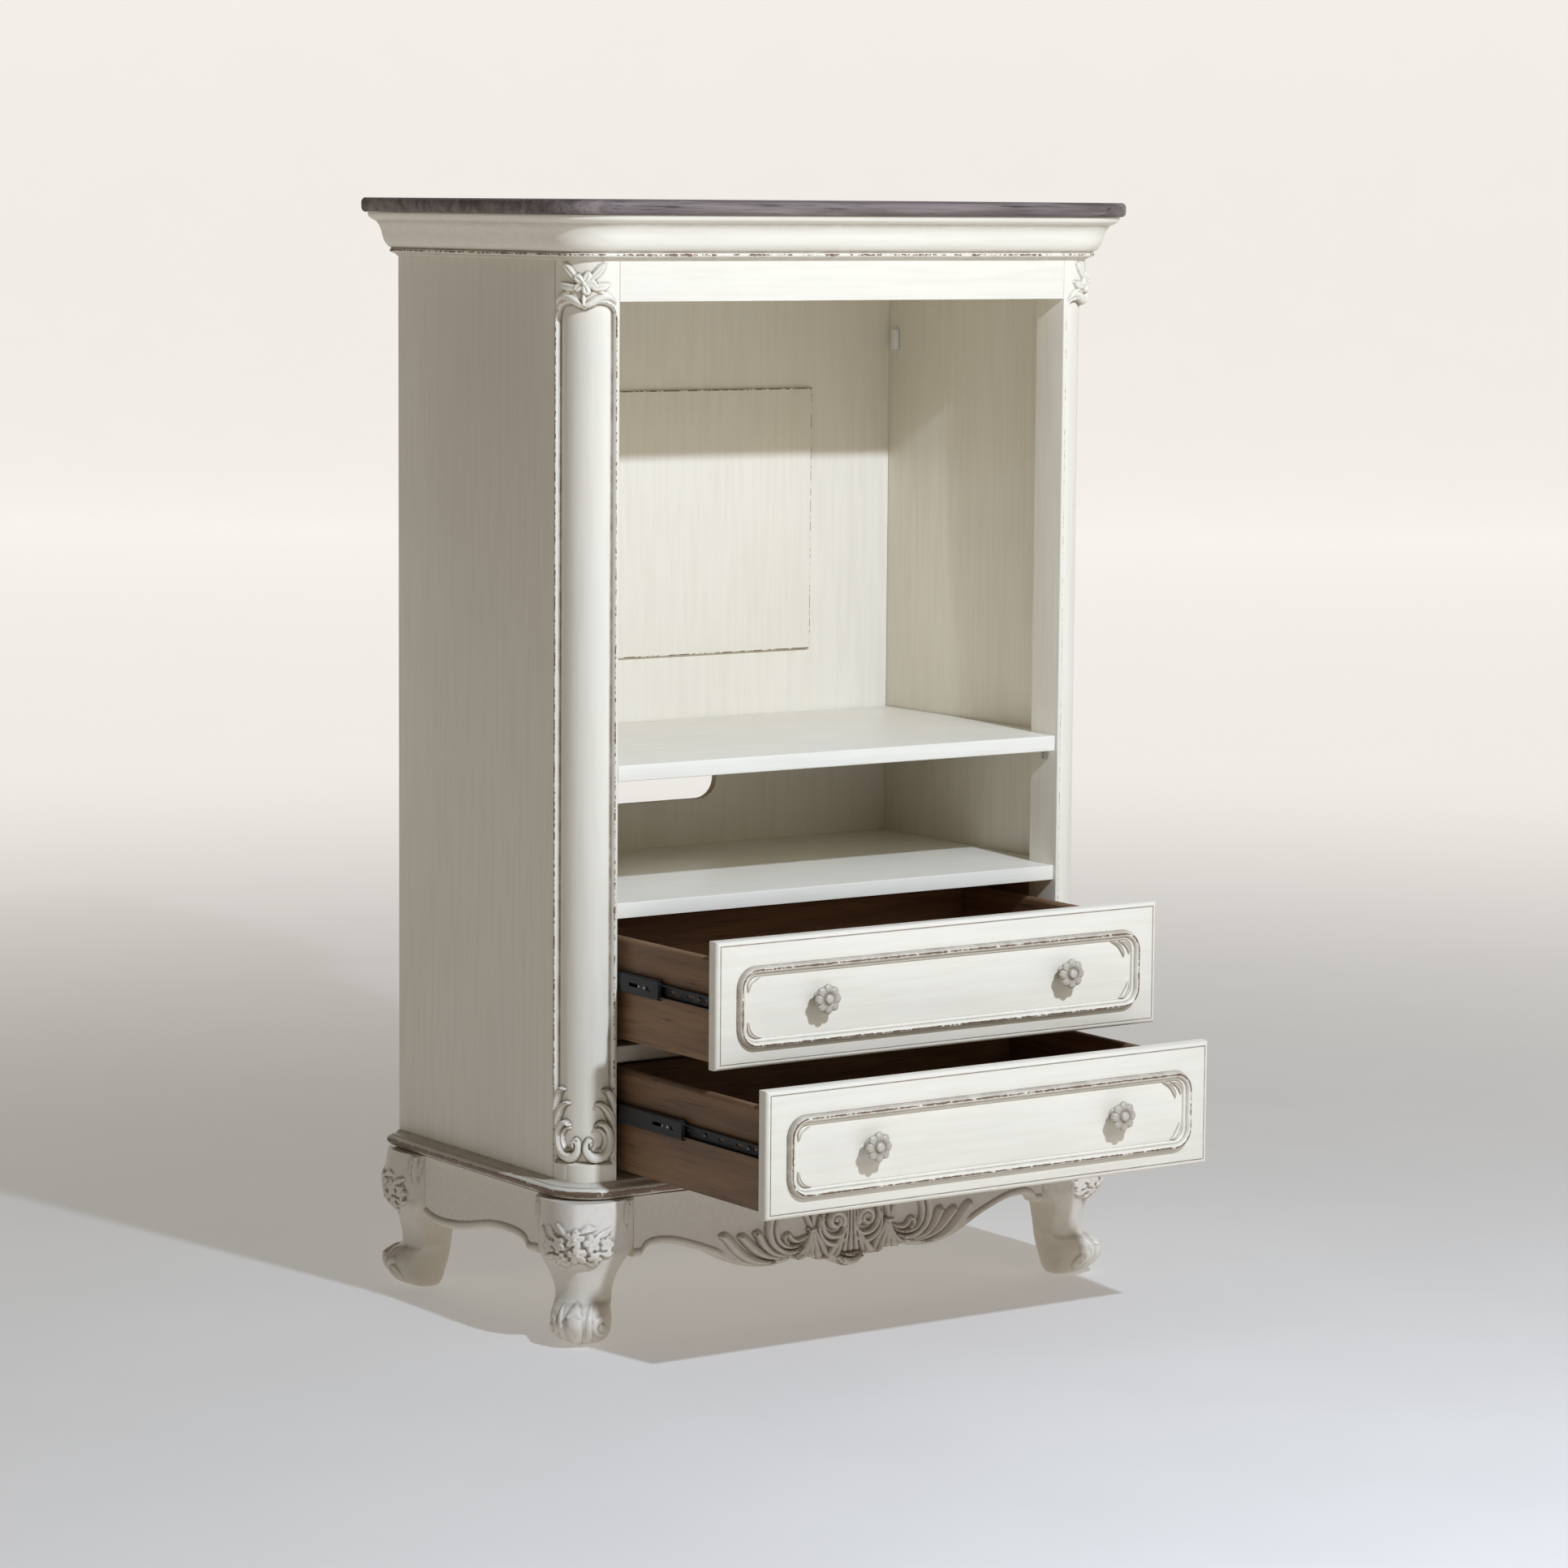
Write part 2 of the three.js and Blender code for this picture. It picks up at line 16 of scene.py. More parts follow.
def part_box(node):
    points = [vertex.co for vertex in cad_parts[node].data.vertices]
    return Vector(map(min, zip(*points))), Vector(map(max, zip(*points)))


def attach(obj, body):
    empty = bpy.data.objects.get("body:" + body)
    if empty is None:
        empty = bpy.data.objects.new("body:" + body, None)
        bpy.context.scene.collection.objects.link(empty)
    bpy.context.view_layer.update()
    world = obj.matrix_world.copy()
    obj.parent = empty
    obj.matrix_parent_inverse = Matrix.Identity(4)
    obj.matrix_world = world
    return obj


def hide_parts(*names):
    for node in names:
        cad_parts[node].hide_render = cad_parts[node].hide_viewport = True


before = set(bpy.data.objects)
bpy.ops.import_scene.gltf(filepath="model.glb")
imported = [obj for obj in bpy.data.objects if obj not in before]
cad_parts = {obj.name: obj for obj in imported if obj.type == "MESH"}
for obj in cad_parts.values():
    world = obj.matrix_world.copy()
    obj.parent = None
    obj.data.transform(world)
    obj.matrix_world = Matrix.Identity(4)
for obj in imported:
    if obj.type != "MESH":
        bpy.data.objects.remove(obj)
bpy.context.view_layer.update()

MM = 0.001
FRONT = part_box("left_front_post")[0].y


def to_frame(points):
    placed = np.array(points, float) * MM
    placed[:, 1] += FRONT
    return placed


def span(node):
    """A node's lowest and highest corners in this script's millimetres."""
    low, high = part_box(node)
    shift = Vector((0, FRONT, 0))
    return (low - shift) / MM, (high - shift) / MM


# ---- datums from the frame
POST_LOW, POST_HIGH = span("right_front_post")
OPENING_HALF = POST_LOW.x
BODY_HALF = POST_HIGH.x
POST_DEPTH = POST_HIGH.y
CASE_BOTTOM = POST_LOW.z
CASE_TOP = POST_HIGH.z
BODY_BACK = span("right_side_panel")[1].y
CORNER_RADIUS = 52.6
CORNER_INSET = BODY_HALF - CORNER_RADIUS
SIDES = {"left": -1, "right": 1}


# ---- materials
class Nodes:
    """Short names for building one material's node tree."""

    def __init__(self, name):
        self.material = bpy.data.materials.new(name)
        self.material.use_nodes = True
        self.tree = self.material.node_tree
        self.shader = self.tree.nodes["Principled BSDF"]

    def add(self, kind, values=(), **options):
        node = self.tree.nodes.new("ShaderNode" + kind)
        for key, value in options.items():
            setattr(node, key, value)
        for socket, value in dict(values).items():
            self.set(node.inputs[socket], value)
        return node

    def set(self, socket, value):
        if isinstance(value, bpy.types.NodeSocket):
            self.tree.links.new(value, socket)
        elif isinstance(value, bpy.types.Node):
            self.tree.links.new(value.outputs[0], socket)
        else:
            socket.default_value = value

    def math(self, operation, a, b=0):
        return self.add("Math", {0: a, 1: b}, operation=operation).outputs[0]

    def attribute(self, name):
        return self.add("Attribute", attribute_name=name).outputs["Fac"]

    def place(self, scale):
        coordinates = self.add("TexCoord").outputs["Object"]
        return self.add("Mapping", {"Vector": coordinates, "Scale": scale}).outputs[0]

    def noise(self, scale, detail=4, roughness=0.55, size=1, distortion=0):
        return self.add("TexNoise", {
            "Vector": self.place(scale), "Scale": size, "Detail": detail,
            "Roughness": roughness, "Distortion": distortion}).outputs["Fac"]

    def ramp(self, value, low, high, from_value=0, to_value=1):
        """Maps low..high smoothly to from_value..to_value."""
        return self.add("MapRange", {
            "Value": value, "From Min": low, "From Max": high,
            "To Min": from_value, "To Max": to_value}, interpolation_type="SMOOTHSTEP").outputs[0]

    def mix(self, factor, a, b, blend="MIX"):
        node = self.add("Mix", data_type="RGBA", blend_type=blend)
        self.set(node.inputs["Factor"], factor)
        for socket, value in ((node.inputs[6], a), (node.inputs[7], b)):
            self.set(socket, (*value, 1) if isinstance(value, tuple) else value)
        return node.outputs[2]

    def bump(self, height, distance, strength):
        return self.add("Bump", {"Height": height, "Distance": distance,
                                 "Strength": strength}).outputs[0]

    def finish(self, **values):
        for key, value in values.items():
            socket = self.shader.inputs[key.replace("_", " ").title().replace("Ior", "IOR")]
            self.set(socket, (*value, 1) if isinstance(value, tuple) else value)
        return self.material


def scaled(direction, size, squeeze=0.06):
    """Texture scale that draws marks out along one axis, or along none."""
    return tuple(size * squeeze if axis == direction else size for axis in "xyz")


# brown glaze for creases, also used as the painted shade colour
GLAZE_AND_SHADE, BARE_WOOD = (0.25, 0.195, 0.14), (0.19, 0.115, 0.07)


def antique_paint(name, grain, base=(0.84, 0.782, 0.665)):
    """Brushed paint. Attribute hollow darkens creases with glaze and paints shade on some mouldings;
    crest rubs edges through.
    """
    n = Nodes(name)
    brush = n.noise(scaled(grain, 520), 4, 0.55)
    cloud = n.noise(scaled("none", 5), 3, 0.5)
    streak = n.noise(scaled(grain, 110), 4, 0.6)
    fleck = n.noise(scaled("none", 190), 5, 0.65)
    patch = n.noise(scaled("none", 48), 4, 0.6)
    light = tuple(min(1, 1.03 * c) for c in base)
    worn = (0.98 * base[0], 0.972 * base[1], 0.955 * base[2])
    colour = n.mix(n.ramp(streak, 0.38, 0.68), light, worn)
    colour = n.mix(n.ramp(cloud, 0.35, 0.75, 0, 0.35), colour, tuple(0.93 * c for c in base))
    # hollow mixes in glaze, which on some mouldings and recesses is painted shade
    hollow = n.math("MULTIPLY", n.attribute("hollow"), n.ramp(patch, 0.2, 0.7, 0.55, 1))
    colour = n.mix(n.math("MINIMUM", hollow, 0.92), colour, GLAZE_AND_SHADE)
    crest = n.attribute("crest")
    broken = n.math("ADD", n.math("MULTIPLY", fleck, 0.55), n.math("MULTIPLY", patch, 0.45))
    threshold = n.math("SUBTRACT", 0.86, n.math("MULTIPLY", crest, 0.385))
    rubbed = n.ramp(n.math("SUBTRACT", broken, threshold), 0, 0.035)
    rubbed = n.math("MULTIPLY", rubbed, n.ramp(crest, 0.02, 0.25))
    colour = n.mix(rubbed, colour, BARE_WOOD)
    depth = n.math("SUBTRACT", brush, n.math("MULTIPLY", rubbed, 0.9))
    normal = n.bump(depth, 0.0003, 0.28)
    rough = n.ramp(streak, 0.3, 0.7, 0.3, 0.42)
    return n.finish(base_color=colour, roughness=rough, normal=normal, specular_ior_level=0.5)


def wood(name, grain, dark, light, rough, size=1, contrast=(0.32, 0.7), shine=0.45):
    """Long grain with fine dark pores."""
    n = Nodes(name)
    figure = n.noise(scaled(grain, 38 * size), 6, 0.62, distortion=0.6)
    pores = n.noise(scaled(grain, 340 * size, 0.03), 4, 0.6)
    tone = n.noise(scaled(grain, 7), 2, 0.5)
    colour = n.mix(n.ramp(figure, *contrast), dark, light)
    colour = n.mix(n.ramp(tone, 0.35, 0.7, 0, 0.4), colour, tuple(0.75 * c for c in light))
    colour = n.mix(n.ramp(pores, 0.56, 0.7, 0, 0.75), colour, tuple(0.35 * c for c in dark))
    edge = n.attribute("crest")
    colour = n.mix(n.math("MULTIPLY", edge, 0.75), colour, tuple(min(1, 1.7 * c) for c in light))
    normal = n.bump(pores, 0.0004, 0.4)
    roughness = n.ramp(figure, 0.3, 0.7, rough - 0.05, rough + 0.08)
    return n.finish(base_color=colour, roughness=roughness, normal=normal, specular_ior_level=shine)


def metal(name, colour, rough, metallic, scratch="y"):
    n = Nodes(name)
    grime = n.noise(scaled("none", 90), 4, 0.6)
    brushed = n.noise(scaled(scratch, 700), 3, 0.5)
    tint = n.mix(n.ramp(grime, 0.35, 0.7), colour, tuple(min(1, 1.6 * c + 0.01) for c in colour))
    tint = n.mix(n.math("MULTIPLY", n.attribute("crest"), 0.5), tint, (0.35, 0.35, 0.36))
    return n.finish(base_color=tint, metallic=metallic, normal=n.bump(brushed, 0.0001, 0.3),
                    roughness=n.ramp(grime, 0.3, 0.7, rough - 0.06, rough + 0.14))


def plastic(name, colour):
    n = Nodes(name)
    speck = n.noise(scaled("none", 600), 3, 0.5)
    tint = n.mix(n.ramp(speck, 0.35, 0.7), colour, tuple(0.93 * c for c in colour))
    return n.finish(base_color=tint, roughness=0.45, normal=n.bump(speck, 0.0001, 0.3))


PAINT_UPRIGHT = antique_paint("antique_paint_upright", "z")
PAINT_LEVEL = antique_paint("antique_paint_level", "x")
# a lighter copy of the same paint for the shelf and drawer bay top paints in the extra light on their
# upper faces
PAINT_SHELF_LIT = antique_paint("antique_paint_shelf_lit", "x", (0.88, 0.838, 0.735))
PAINT_MOULDED = antique_paint("antique_paint_moulded", "none")
PAINT_CARVED = antique_paint("antique_paint_carved", "none", (0.8, 0.737, 0.635))
KNOB_PAINT = antique_paint("knob_paint_glazed", "none", (0.54, 0.495, 0.41))
WALNUT = wood("walnut_top", "x", (0.07, 0.055, 0.05), (0.3, 0.245, 0.228), 0.42, 1.1,
              contrast=(0.36, 0.72), shine=0.22)
DRAWER_WOOD = wood("drawer_wood", "y", (0.15, 0.077, 0.038), (0.305, 0.175, 0.09), 0.5, 1)
DRAWER_CROSS_WOOD = wood("drawer_cross_wood", "x", (0.15, 0.077, 0.038), (0.305, 0.175, 0.09), 0.5)
RAW_EDGE = wood("raw_fibre_edge", "x", (0.36, 0.27, 0.17), (0.62, 0.5, 0.34), 0.7, 2)
BLACK_STEEL = metal("black_slide_steel", (0.011, 0.012, 0.014), 0.42, 0.35)
SCREW_STEEL = metal("screw_steel", (0.09, 0.09, 0.095), 0.3, 0.9, "none")
SUPPORT_STEEL = metal("support_steel", (0.45, 0.45, 0.44), 0.35, 0.85)
BLACK_PLASTIC = plastic("black_stop_plastic", (0.022, 0.023, 0.025))
WHITE_CLIP = plastic("white_clip_plastic", (0.83, 0.83, 0.8))


# ---- meshes
def add_piece(name, shape, material, body="root", slot="antique_paint", stands_for=(), angle=40,
              **values):
    """shape is points and faces, and each of values is one attribute's value at every point."""
    points, faces = shape
    mesh = bpy.data.meshes.new(name)
    mesh.from_pydata(to_frame(points).tolist(), [], faces)
    for key, data in values.items():
        layer = mesh.attributes.new(key, "FLOAT", "POINT")
        layer.data.foreach_set("value", np.asarray(data, np.float32).ravel())
    return finish_piece(name, mesh, material, body, stands_for, angle)


def finish_piece(name, mesh, material, body, stands_for, angle):
    bm = bmesh.new()
    bm.from_mesh(mesh)
    bmesh.ops.recalc_face_normals(bm, faces=bm.faces)
    bm.to_mesh(mesh)
    bm.free()
    mesh.shade_smooth()
    mesh.set_sharp_from_angle(angle=math.radians(angle))
    for part in material if isinstance(material, list) else [material]:
        mesh.materials.append(part)
    piece = bpy.data.objects.new(name, mesh)
    bpy.context.scene.collection.objects.link(piece)
    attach(piece, body)
    if stands_for:
        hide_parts(*stands_for)
    return piece


def skin(rings, loop=False):
    """Vertices and faces of a skin over closed rings of equal count, capped unless it loops."""
    rings = np.asarray(rings, float)
    steps, count = rings.shape[:2]
    faces = []
    for i in range(steps if loop else steps - 1):
        here, there = i * count, (i + 1) % steps * count
        faces += [(here + j, here + (j + 1) % count, there + (j + 1) % count, there + j)
                  for j in range(count)]
    if not loop:
        faces += [tuple(range(count - 1, -1, -1)), tuple((steps - 1) * count + j for j in range(count))]
    return rings.reshape(-1, 3), faces


def smooth(points, steps):
    """A Catmull-Rom curve through the points, whose extra columns are carried along."""
    p = np.asarray(points, float)
    p = np.vstack([2 * p[0] - p[1], p, 2 * p[-1] - p[-2]])
    t = np.linspace(0, 1, steps, endpoint=False)[:, None]
    runs = [0.5 * (2 * b + (c - a) * t + (2 * a - 5 * b + 4 * c - d) * t ** 2
                   + (3 * b - a - 3 * c + d) * t ** 3)
            for a, b, c, d in zip(p, p[1:], p[2:], p[3:])]
    return np.vstack([*runs, p[-2:-1]])


def rounded(points, sharp, steps):
    """A smooth line through the points, broken at the indices in sharp."""
    cuts = [0, *sharp, len(points) - 1]
    runs = [smooth(points[a:b + 1], steps) for a, b in zip(cuts, cuts[1:]) if b > a]
    return np.vstack([runs[0], *(run[1:] for run in runs[1:])])


def arc(cx, cy, radius, start, end, steps):
    """Points with their outward normals on an arc in plan, in degrees."""
    angles = np.radians(np.linspace(start, end, steps + 1))
    normals = np.column_stack([np.cos(angles), np.sin(angles)])
    return np.column_stack([(cx, cy) + radius * normals, normals])


def rounded_copy(node, material, width, crest, body="root"):
    """The CAD node's own solid with its sharp edges rounded, and crest on the rounded edges."""
    bm = bmesh.new()
    bm.from_mesh(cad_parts[node].data)
    bmesh.ops.remove_doubles(bm, verts=bm.verts, dist=1e-6)
    bmesh.ops.dissolve_limit(bm, angle_limit=math.radians(1), verts=bm.verts, edges=bm.edges)
    sharp = [e for e in bm.edges if e.calc_face_angle(0) > math.radians(30)]
    layer = bm.faces.layers.float.new("crest")
    made = bmesh.ops.bevel(bm, geom=sharp, offset=width * MM, segments=3, affect="EDGES", profile=0.5)
    for face in made["faces"]:
        face[layer] = crest
    mesh = bpy.data.meshes.new(node)
    bm.to_mesh(mesh)
    bm.free()
    return finish_piece(node + "_rounded", mesh, material, body, [node], 50)


def plate(outline, holes, thickness):
    """A flat plate in x and z at y = 0, with holes, as vertices and faces with side walls."""
    loops = [[Vector((x, 0, z)) for x, z in loop] for loop in (outline, *holes)]
    flat = [tuple(point) for loop in loops for point in loop]
    count = len(flat)
    triangles = tessellate_polygon(loops)
    faces = [tuple(t) for t in triangles] + [tuple(count + i for i in t) for t in triangles]
    start = 0
    for loop in loops:
        ring = [start + i for i in range(len(loop))]
        faces += [(i, j, count + j, count + i) for i, j in zip(ring, ring[1:] + ring[:1])]
        start += len(loop)
    return flat + [(x, thickness, z) for x, _, z in flat], faces


def joined(*parts):
    """Several (points, faces) as one."""
    points, faces = [], []
    for more, shape in parts:
        start = len(points)
        points += [tuple(p) for p in more]
        faces += [tuple(start + i for i in face) for face in shape]
    return points, faces


# ---- carving
class Relief:
    """Height over a grid of places (a, b). Strokes only ever raise it."""

    def __init__(self, a, b, height):
        self.a, self.b, self.height = a, b, height

    def stroke(self, path, tall, foot=0, edge=0.6, vein=0, tilt=0, steps=6, mirror=None):
        """path rows are a, b and half width. tilt leans the crown to the path's left."""
        if mirror is not None:
            flipped = [(2 * mirror - a, b, w) for a, b, w in path]
            self.stroke(flipped, tall, foot, edge, vein, -tilt, steps)
        line = smooth(path, steps)
        line[:, 2] = np.maximum(line[:, 2], 0.3)
        reach = line[:, 2].max() + 1
        near = ((self.a > line[:, 0].min() - reach) & (self.a < line[:, 0].max() + reach)
                & (self.b > line[:, 1].min() - reach) & (self.b < line[:, 1].max() + reach))
        if not near.any():
            return
        pa, pb = self.a[near], self.b[near]
        best = np.full(pa.shape, np.inf)
        side = np.zeros(pa.shape)
        for p, q in zip(line, line[1:]):
            da, db = q[0] - p[0], q[1] - p[1]
            t = np.clip(((pa - p[0]) * da + (pb - p[1]) * db) / max(da * da + db * db, 1e-9), 0, 1)
            ea, eb = pa - p[0] - da * t, pb - p[1] - db * t
            ratio = np.hypot(ea, eb) / (p[2] + (q[2] - p[2]) * t)
            closer = ratio < best
            best = np.where(closer, ratio, best)
            side = np.where(closer, np.sign(da * eb - db * ea) * ratio, side)
        inside = best < 1
        crown = np.where(inside, 1 - np.minimum(best, 1) ** 2, 0) ** edge
        crown = crown * (1 - vein * np.exp(-(best / 0.25) ** 2)) * (1 + tilt * side)
        self.height[near] = np.where(inside, np.maximum(self.height[near], foot + tall * crown),
                                     self.height[near])

    def dot(self, a, b, radius, tall, foot):
        self.stroke([(a - 0.05, b, radius), (a + 0.05, b, radius)], tall, foot, 0.5, steps=2)

    def flower(self, a, b, radius, tall, foot=0, petals=5, turn=90):
        for k in range(petals):
            angle = math.radians(turn + 360 * k / petals)
            ca, sa = math.cos(angle), math.sin(angle)
            path = [(a + radius * r * ca, b + radius * r * sa, radius * w)
                    for r, w in ((0.15, 0.14), (0.45, 0.36), (0.72, 0.42), (0.93, 0.24))]
            self.stroke(path, tall * (0.86 + 0.14 * math.cos(2.4 * k)), foot, 0.38, 0.3, steps=4)
        self.dot(a, b, radius * 0.2, tall * 0.75, foot + tall * 0.45)

    def spiral(self, a, b, outer, inner, turns, start, width, tall, foot=0):
        """A tapering roll wound inwards, anticlockwise for positive turns."""
        path = []
        for t in np.linspace(0, 1, int(10 * abs(turns)) + 4):
            angle = math.radians(start) + 2 * math.pi * turns * t
            r = outer + (inner - outer) * t ** 0.8
            path.append((a + r * math.cos(angle), b + r * math.sin(angle), width * (1 - 0.45 * t)))
        self.stroke(path, tall, foot, 0.6, steps=3)
        self.dot(a, b, inner * 1.1, tall * 1.1, foot)


def shading(height, along, across, gain):
    """Hollow and crest values from how the height bends."""
    bend = (np.gradient(np.gradient(height, across, axis=1), across, axis=1)
            + np.gradient(np.gradient(height, along, axis=0), along, axis=0))
    for _ in range(2):
        padded = np.pad(bend, 1, mode="edge")
        bend = (padded[:-2, 1:-1] + padded[2:, 1:-1] + padded[1:-1, :-2] + padded[1:-1, 2:]
                + 2 * padded[1:-1, 1:-1]) / 6
    return np.clip(bend * gain, 0, 1), np.clip(-bend * gain * 0.8 - 0.12, 0, 1)


def levels(*runs):
    """Joined even steps: each run is start, end and gap, and shares its end with the next."""
    parts = [np.linspace(a, b, max(1, round(abs(b - a) / gap)), endpoint=False) for a, b, gap in runs]
    return np.concatenate([*parts, [runs[-1][1]]])


def step(x, low, high):
    """A smooth rise from 0 at low to 1 at high."""
    t = np.clip((x - low) / (high - low), 0, 1)
    return t * t * (3 - 2 * t)


# ---- posts
RECESS = 7.5
FRONT_FLAT = CORNER_INSET - OPENING_HALF  # from a post's inner edge to the start of its corner


def post_surface(s):
    """Plan place and outward normal at s millimetres round the right post's outside."""
    turn = np.clip((s - FRONT_FLAT) / CORNER_RADIUS, 0, math.pi / 2)
    past = np.maximum(s - FRONT_FLAT - CORNER_RADIUS * math.pi / 2, 0)
    x = np.where(s < FRONT_FLAT, OPENING_HALF + s, CORNER_INSET + CORNER_RADIUS * np.sin(turn))
    y = CORNER_RADIUS * (1 - np.cos(turn)) + past
    return x, y, np.sin(turn), -np.cos(turn)


def carve_post(s, z):
    """The sunk panel round the corner, with its scrolled ends and the flower over it."""
    a, b = np.meshgrid(s, z)
    mid = 51.5  # half way round the post's outside, from its inner edge
    ogee = smooth([(3, 1385), (5.5, 1398), (10, 1407.5), (18, 1412.5), (30, 1414), (41, 1411.5),
                   (51.5, 1406.5), (62, 1411.5), (73, 1414), (85, 1412.5), (93, 1407.5), (98, 1398),
                   (101, 1385)], 8)
    top = np.interp(s, ogee[:, 0], ogee[:, 1])
    inner_edge, outer_edge, bottom = 5.2, s[-1] - 1.6, 247.5
    inside = np.minimum(a - inner_edge, outer_edge - a)
    inside = np.minimum(inside, 0.85 * (top[None, :] - b))
    inside = np.minimum(inside, b - bottom)
    swell = 1.8 * np.clip(1 - ((a - mid) / 21) ** 2, 0, 1) ** 0.7
    ground = np.where(b < bottom + 0.5, swell, -RECESS * step(inside, 0, 3))
    # a fine bead runs along the panel's rim
    rim = np.exp(-((inside + 1.1) / 0.9) ** 2) * (b > 352)
    relief = Relief(a, b, ground + 0.8 * rim)

    def both(path, *args, **kwargs):
        relief.stroke([(mid + o, z0, w) for o, z0, w in path], *args, mirror=mid, **kwargs)

    # scrolls at the foot of the panel
    both([(31, 349.5, 1), (38, 348.5, 3.4), (44, 341, 4.4), (47.5, 330, 3.8), (48.5, 318, 1.5)],
         6.5, -3.5, vein=0.25)
    both([(20.5, 331, 1), (28, 330.5, 3), (37, 324, 5), (44, 313, 5.2), (47, 300, 2.5)],
         7.5, -5, vein=0.3)
    both([(20, 301, 1.2), (26, 304, 2.8), (34, 301.5, 4.6), (40, 293, 5.6), (42, 279, 6.2),
          (37.5, 266, 6.8), (28, 258.5, 7.2), (17, 257, 6.8), (9, 262.5, 6), (5.4, 271.5, 5.2),
          (8, 280, 4.2), (13, 279, 3.2), (12.5, 273, 2.2)], 9.5, -5.5, vein=0.12)
    both([(19, 297.5, 0.8), (27, 296, 1.9), (33.5, 289, 2.3), (35, 279, 2.3), (30, 269, 2.2),
          (22, 266.5, 1.6)], 5, -6.5)
    # flower, leaves and the two leaf scrolls over the panel
    both([(1.5, 1410, 3), (7, 1411.5, 4.8), (15, 1416.5, 6), (25, 1420.5, 5.4), (35, 1419.5, 3.4),
          (43, 1414, 1.2)], 7, -2.5, vein=0.12, tilt=0.25)
    both([(20, 1427, 1), (28, 1426, 2.6), (37, 1421, 2.4), (44, 1412, 0.9)], 3.2)
    both([(9, 1434.5, 2.4), (17, 1433.5, 5.2), (26, 1434.5, 5.4), (34, 1438, 1.4)], 5.4, 0, 0.4, 0.3)
    both([(8, 1443, 2.4), (15, 1450, 5), (23, 1459, 5), (29, 1465.5, 1.2)], 5.2, 0, 0.4, 0.3)
    relief.flower(mid - 1, 1439, 14, 7, 1.2, 5, 40)
    relief.stroke([(mid, 1423, 2.6), (mid, 1417, 3.4), (mid, 1411, 2)], 6.5, -1)
    return relief, inside


def add_post(name, side):
    z = levels((CASE_BOTTOM, 240, 4), (240, 356, 1), (356, 366, 2.5), (366, 1380, 26),
               (1380, 1467, 1), (1467, CASE_TOP, 5))
    reach = POST_DEPTH - CORNER_RADIUS + CORNER_RADIUS * math.pi / 2 + FRONT_FLAT
    s = levels((0.9, reach, 0.95))
    relief, inside = carve_post(s, z)
    hollow, crest = shading(relief.height, z, s, 0.75)
    # the paint is rubbed along the rim, and painted shade darkens the foot of the recess
    rim = np.exp(-((inside + 0.5) / 1.1) ** 2) * (relief.height < 0.85)
    recess_foot_shade = np.exp(-((inside - 3.4) / 1.6) ** 2) * (relief.height < -RECESS + 1.5)
    crest = np.clip(crest + 0.95 * rim, 0, 1)
    hollow = np.clip(hollow + 0.55 * recess_foot_shade + 0.9 * (s > s[-1] - 1.2), 0, 1)
    x, y, nx, ny = post_surface(s)
    rings, hollows, crests = [], [], []
    for k, level in enumerate(z):
        h = relief.height[k]
        front = np.column_stack([x + nx * h, y + ny * h, np.full(len(s), level)])
        before = [(OPENING_HALF, POST_DEPTH, level), (OPENING_HALF, 1.4, level),
                  (OPENING_HALF + 0.35, 0.4, level)]
        after = [(BODY_HALF - 0.6, POST_DEPTH, level)]
        rings.append(np.vstack([before, front, after]))
        hollows.append(np.concatenate([[0, 0, 0], hollow[k], [0]]))
        crests.append(np.concatenate([[0, 0, 0.3], crest[k], [0]]))
    rings = np.array(rings)
    rings[:, :, 0] *= side
    add_piece(name + "_carved", skin(rings), PAINT_UPRIGHT, stands_for=[name], angle=60,
              hollow=np.concatenate(hollows), crest=np.concatenate(crests))


# ---- legs
LEG_LEVELS = [  # height, then outer and inner reach and half width about the leg's axis
    (0, -26, -55, 17), (1.5, -20, -58, 22), (4, -14, -60, 28), (9, -1, -63, 34),
    (18, 9, -66, 39.5), (29, 17, -69, 42), (39, 19, -72, 42), (46, 17, -73.5, 41),
    (53, 10, -75, 39.5), (59, 0, -76, 39), (64, -6, -76.5, 39), (76, -6, -78, 39.5),
    (88, -4, -80, 43), (100, -1, -82, 48), (110, 2, -87, 53.5), (119, 8, -98, 59),
    (128, 15, -111, 64), (138, 19, -121.6, 66.5), (155, 21, -121.6, 66.5),
    (175, 20, -121.6, 66.5), (200.7, 15, -121.6, 66.5),
]
ANKLE, BLOCK_START, LEG_TOP = 64, 138, LEG_LEVELS[-1][0]


def leg_ring(z, outer, inner, half, angles):
    """A leg's outline at one height: round at the ankle, and squarer towards the block."""
    squareness = min(max((z - ANKLE) / (BLOCK_START - ANKLE), 0), 1)
    middle = (outer + inner) / 2 * (1 - squareness) + (inner + half) * squareness
    along, across = np.cos(angles), np.sin(angles)
    power = np.where(along > 0, 2 - 0.4 * squareness, 1.5 - 0.5 * squareness)
    reach = np.where(along > 0, outer - middle, middle - inner)
    scale = (np.abs(along) ** power + np.abs(across) ** power) ** (-1 / power)
    return middle + reach * along * scale, half * across * scale


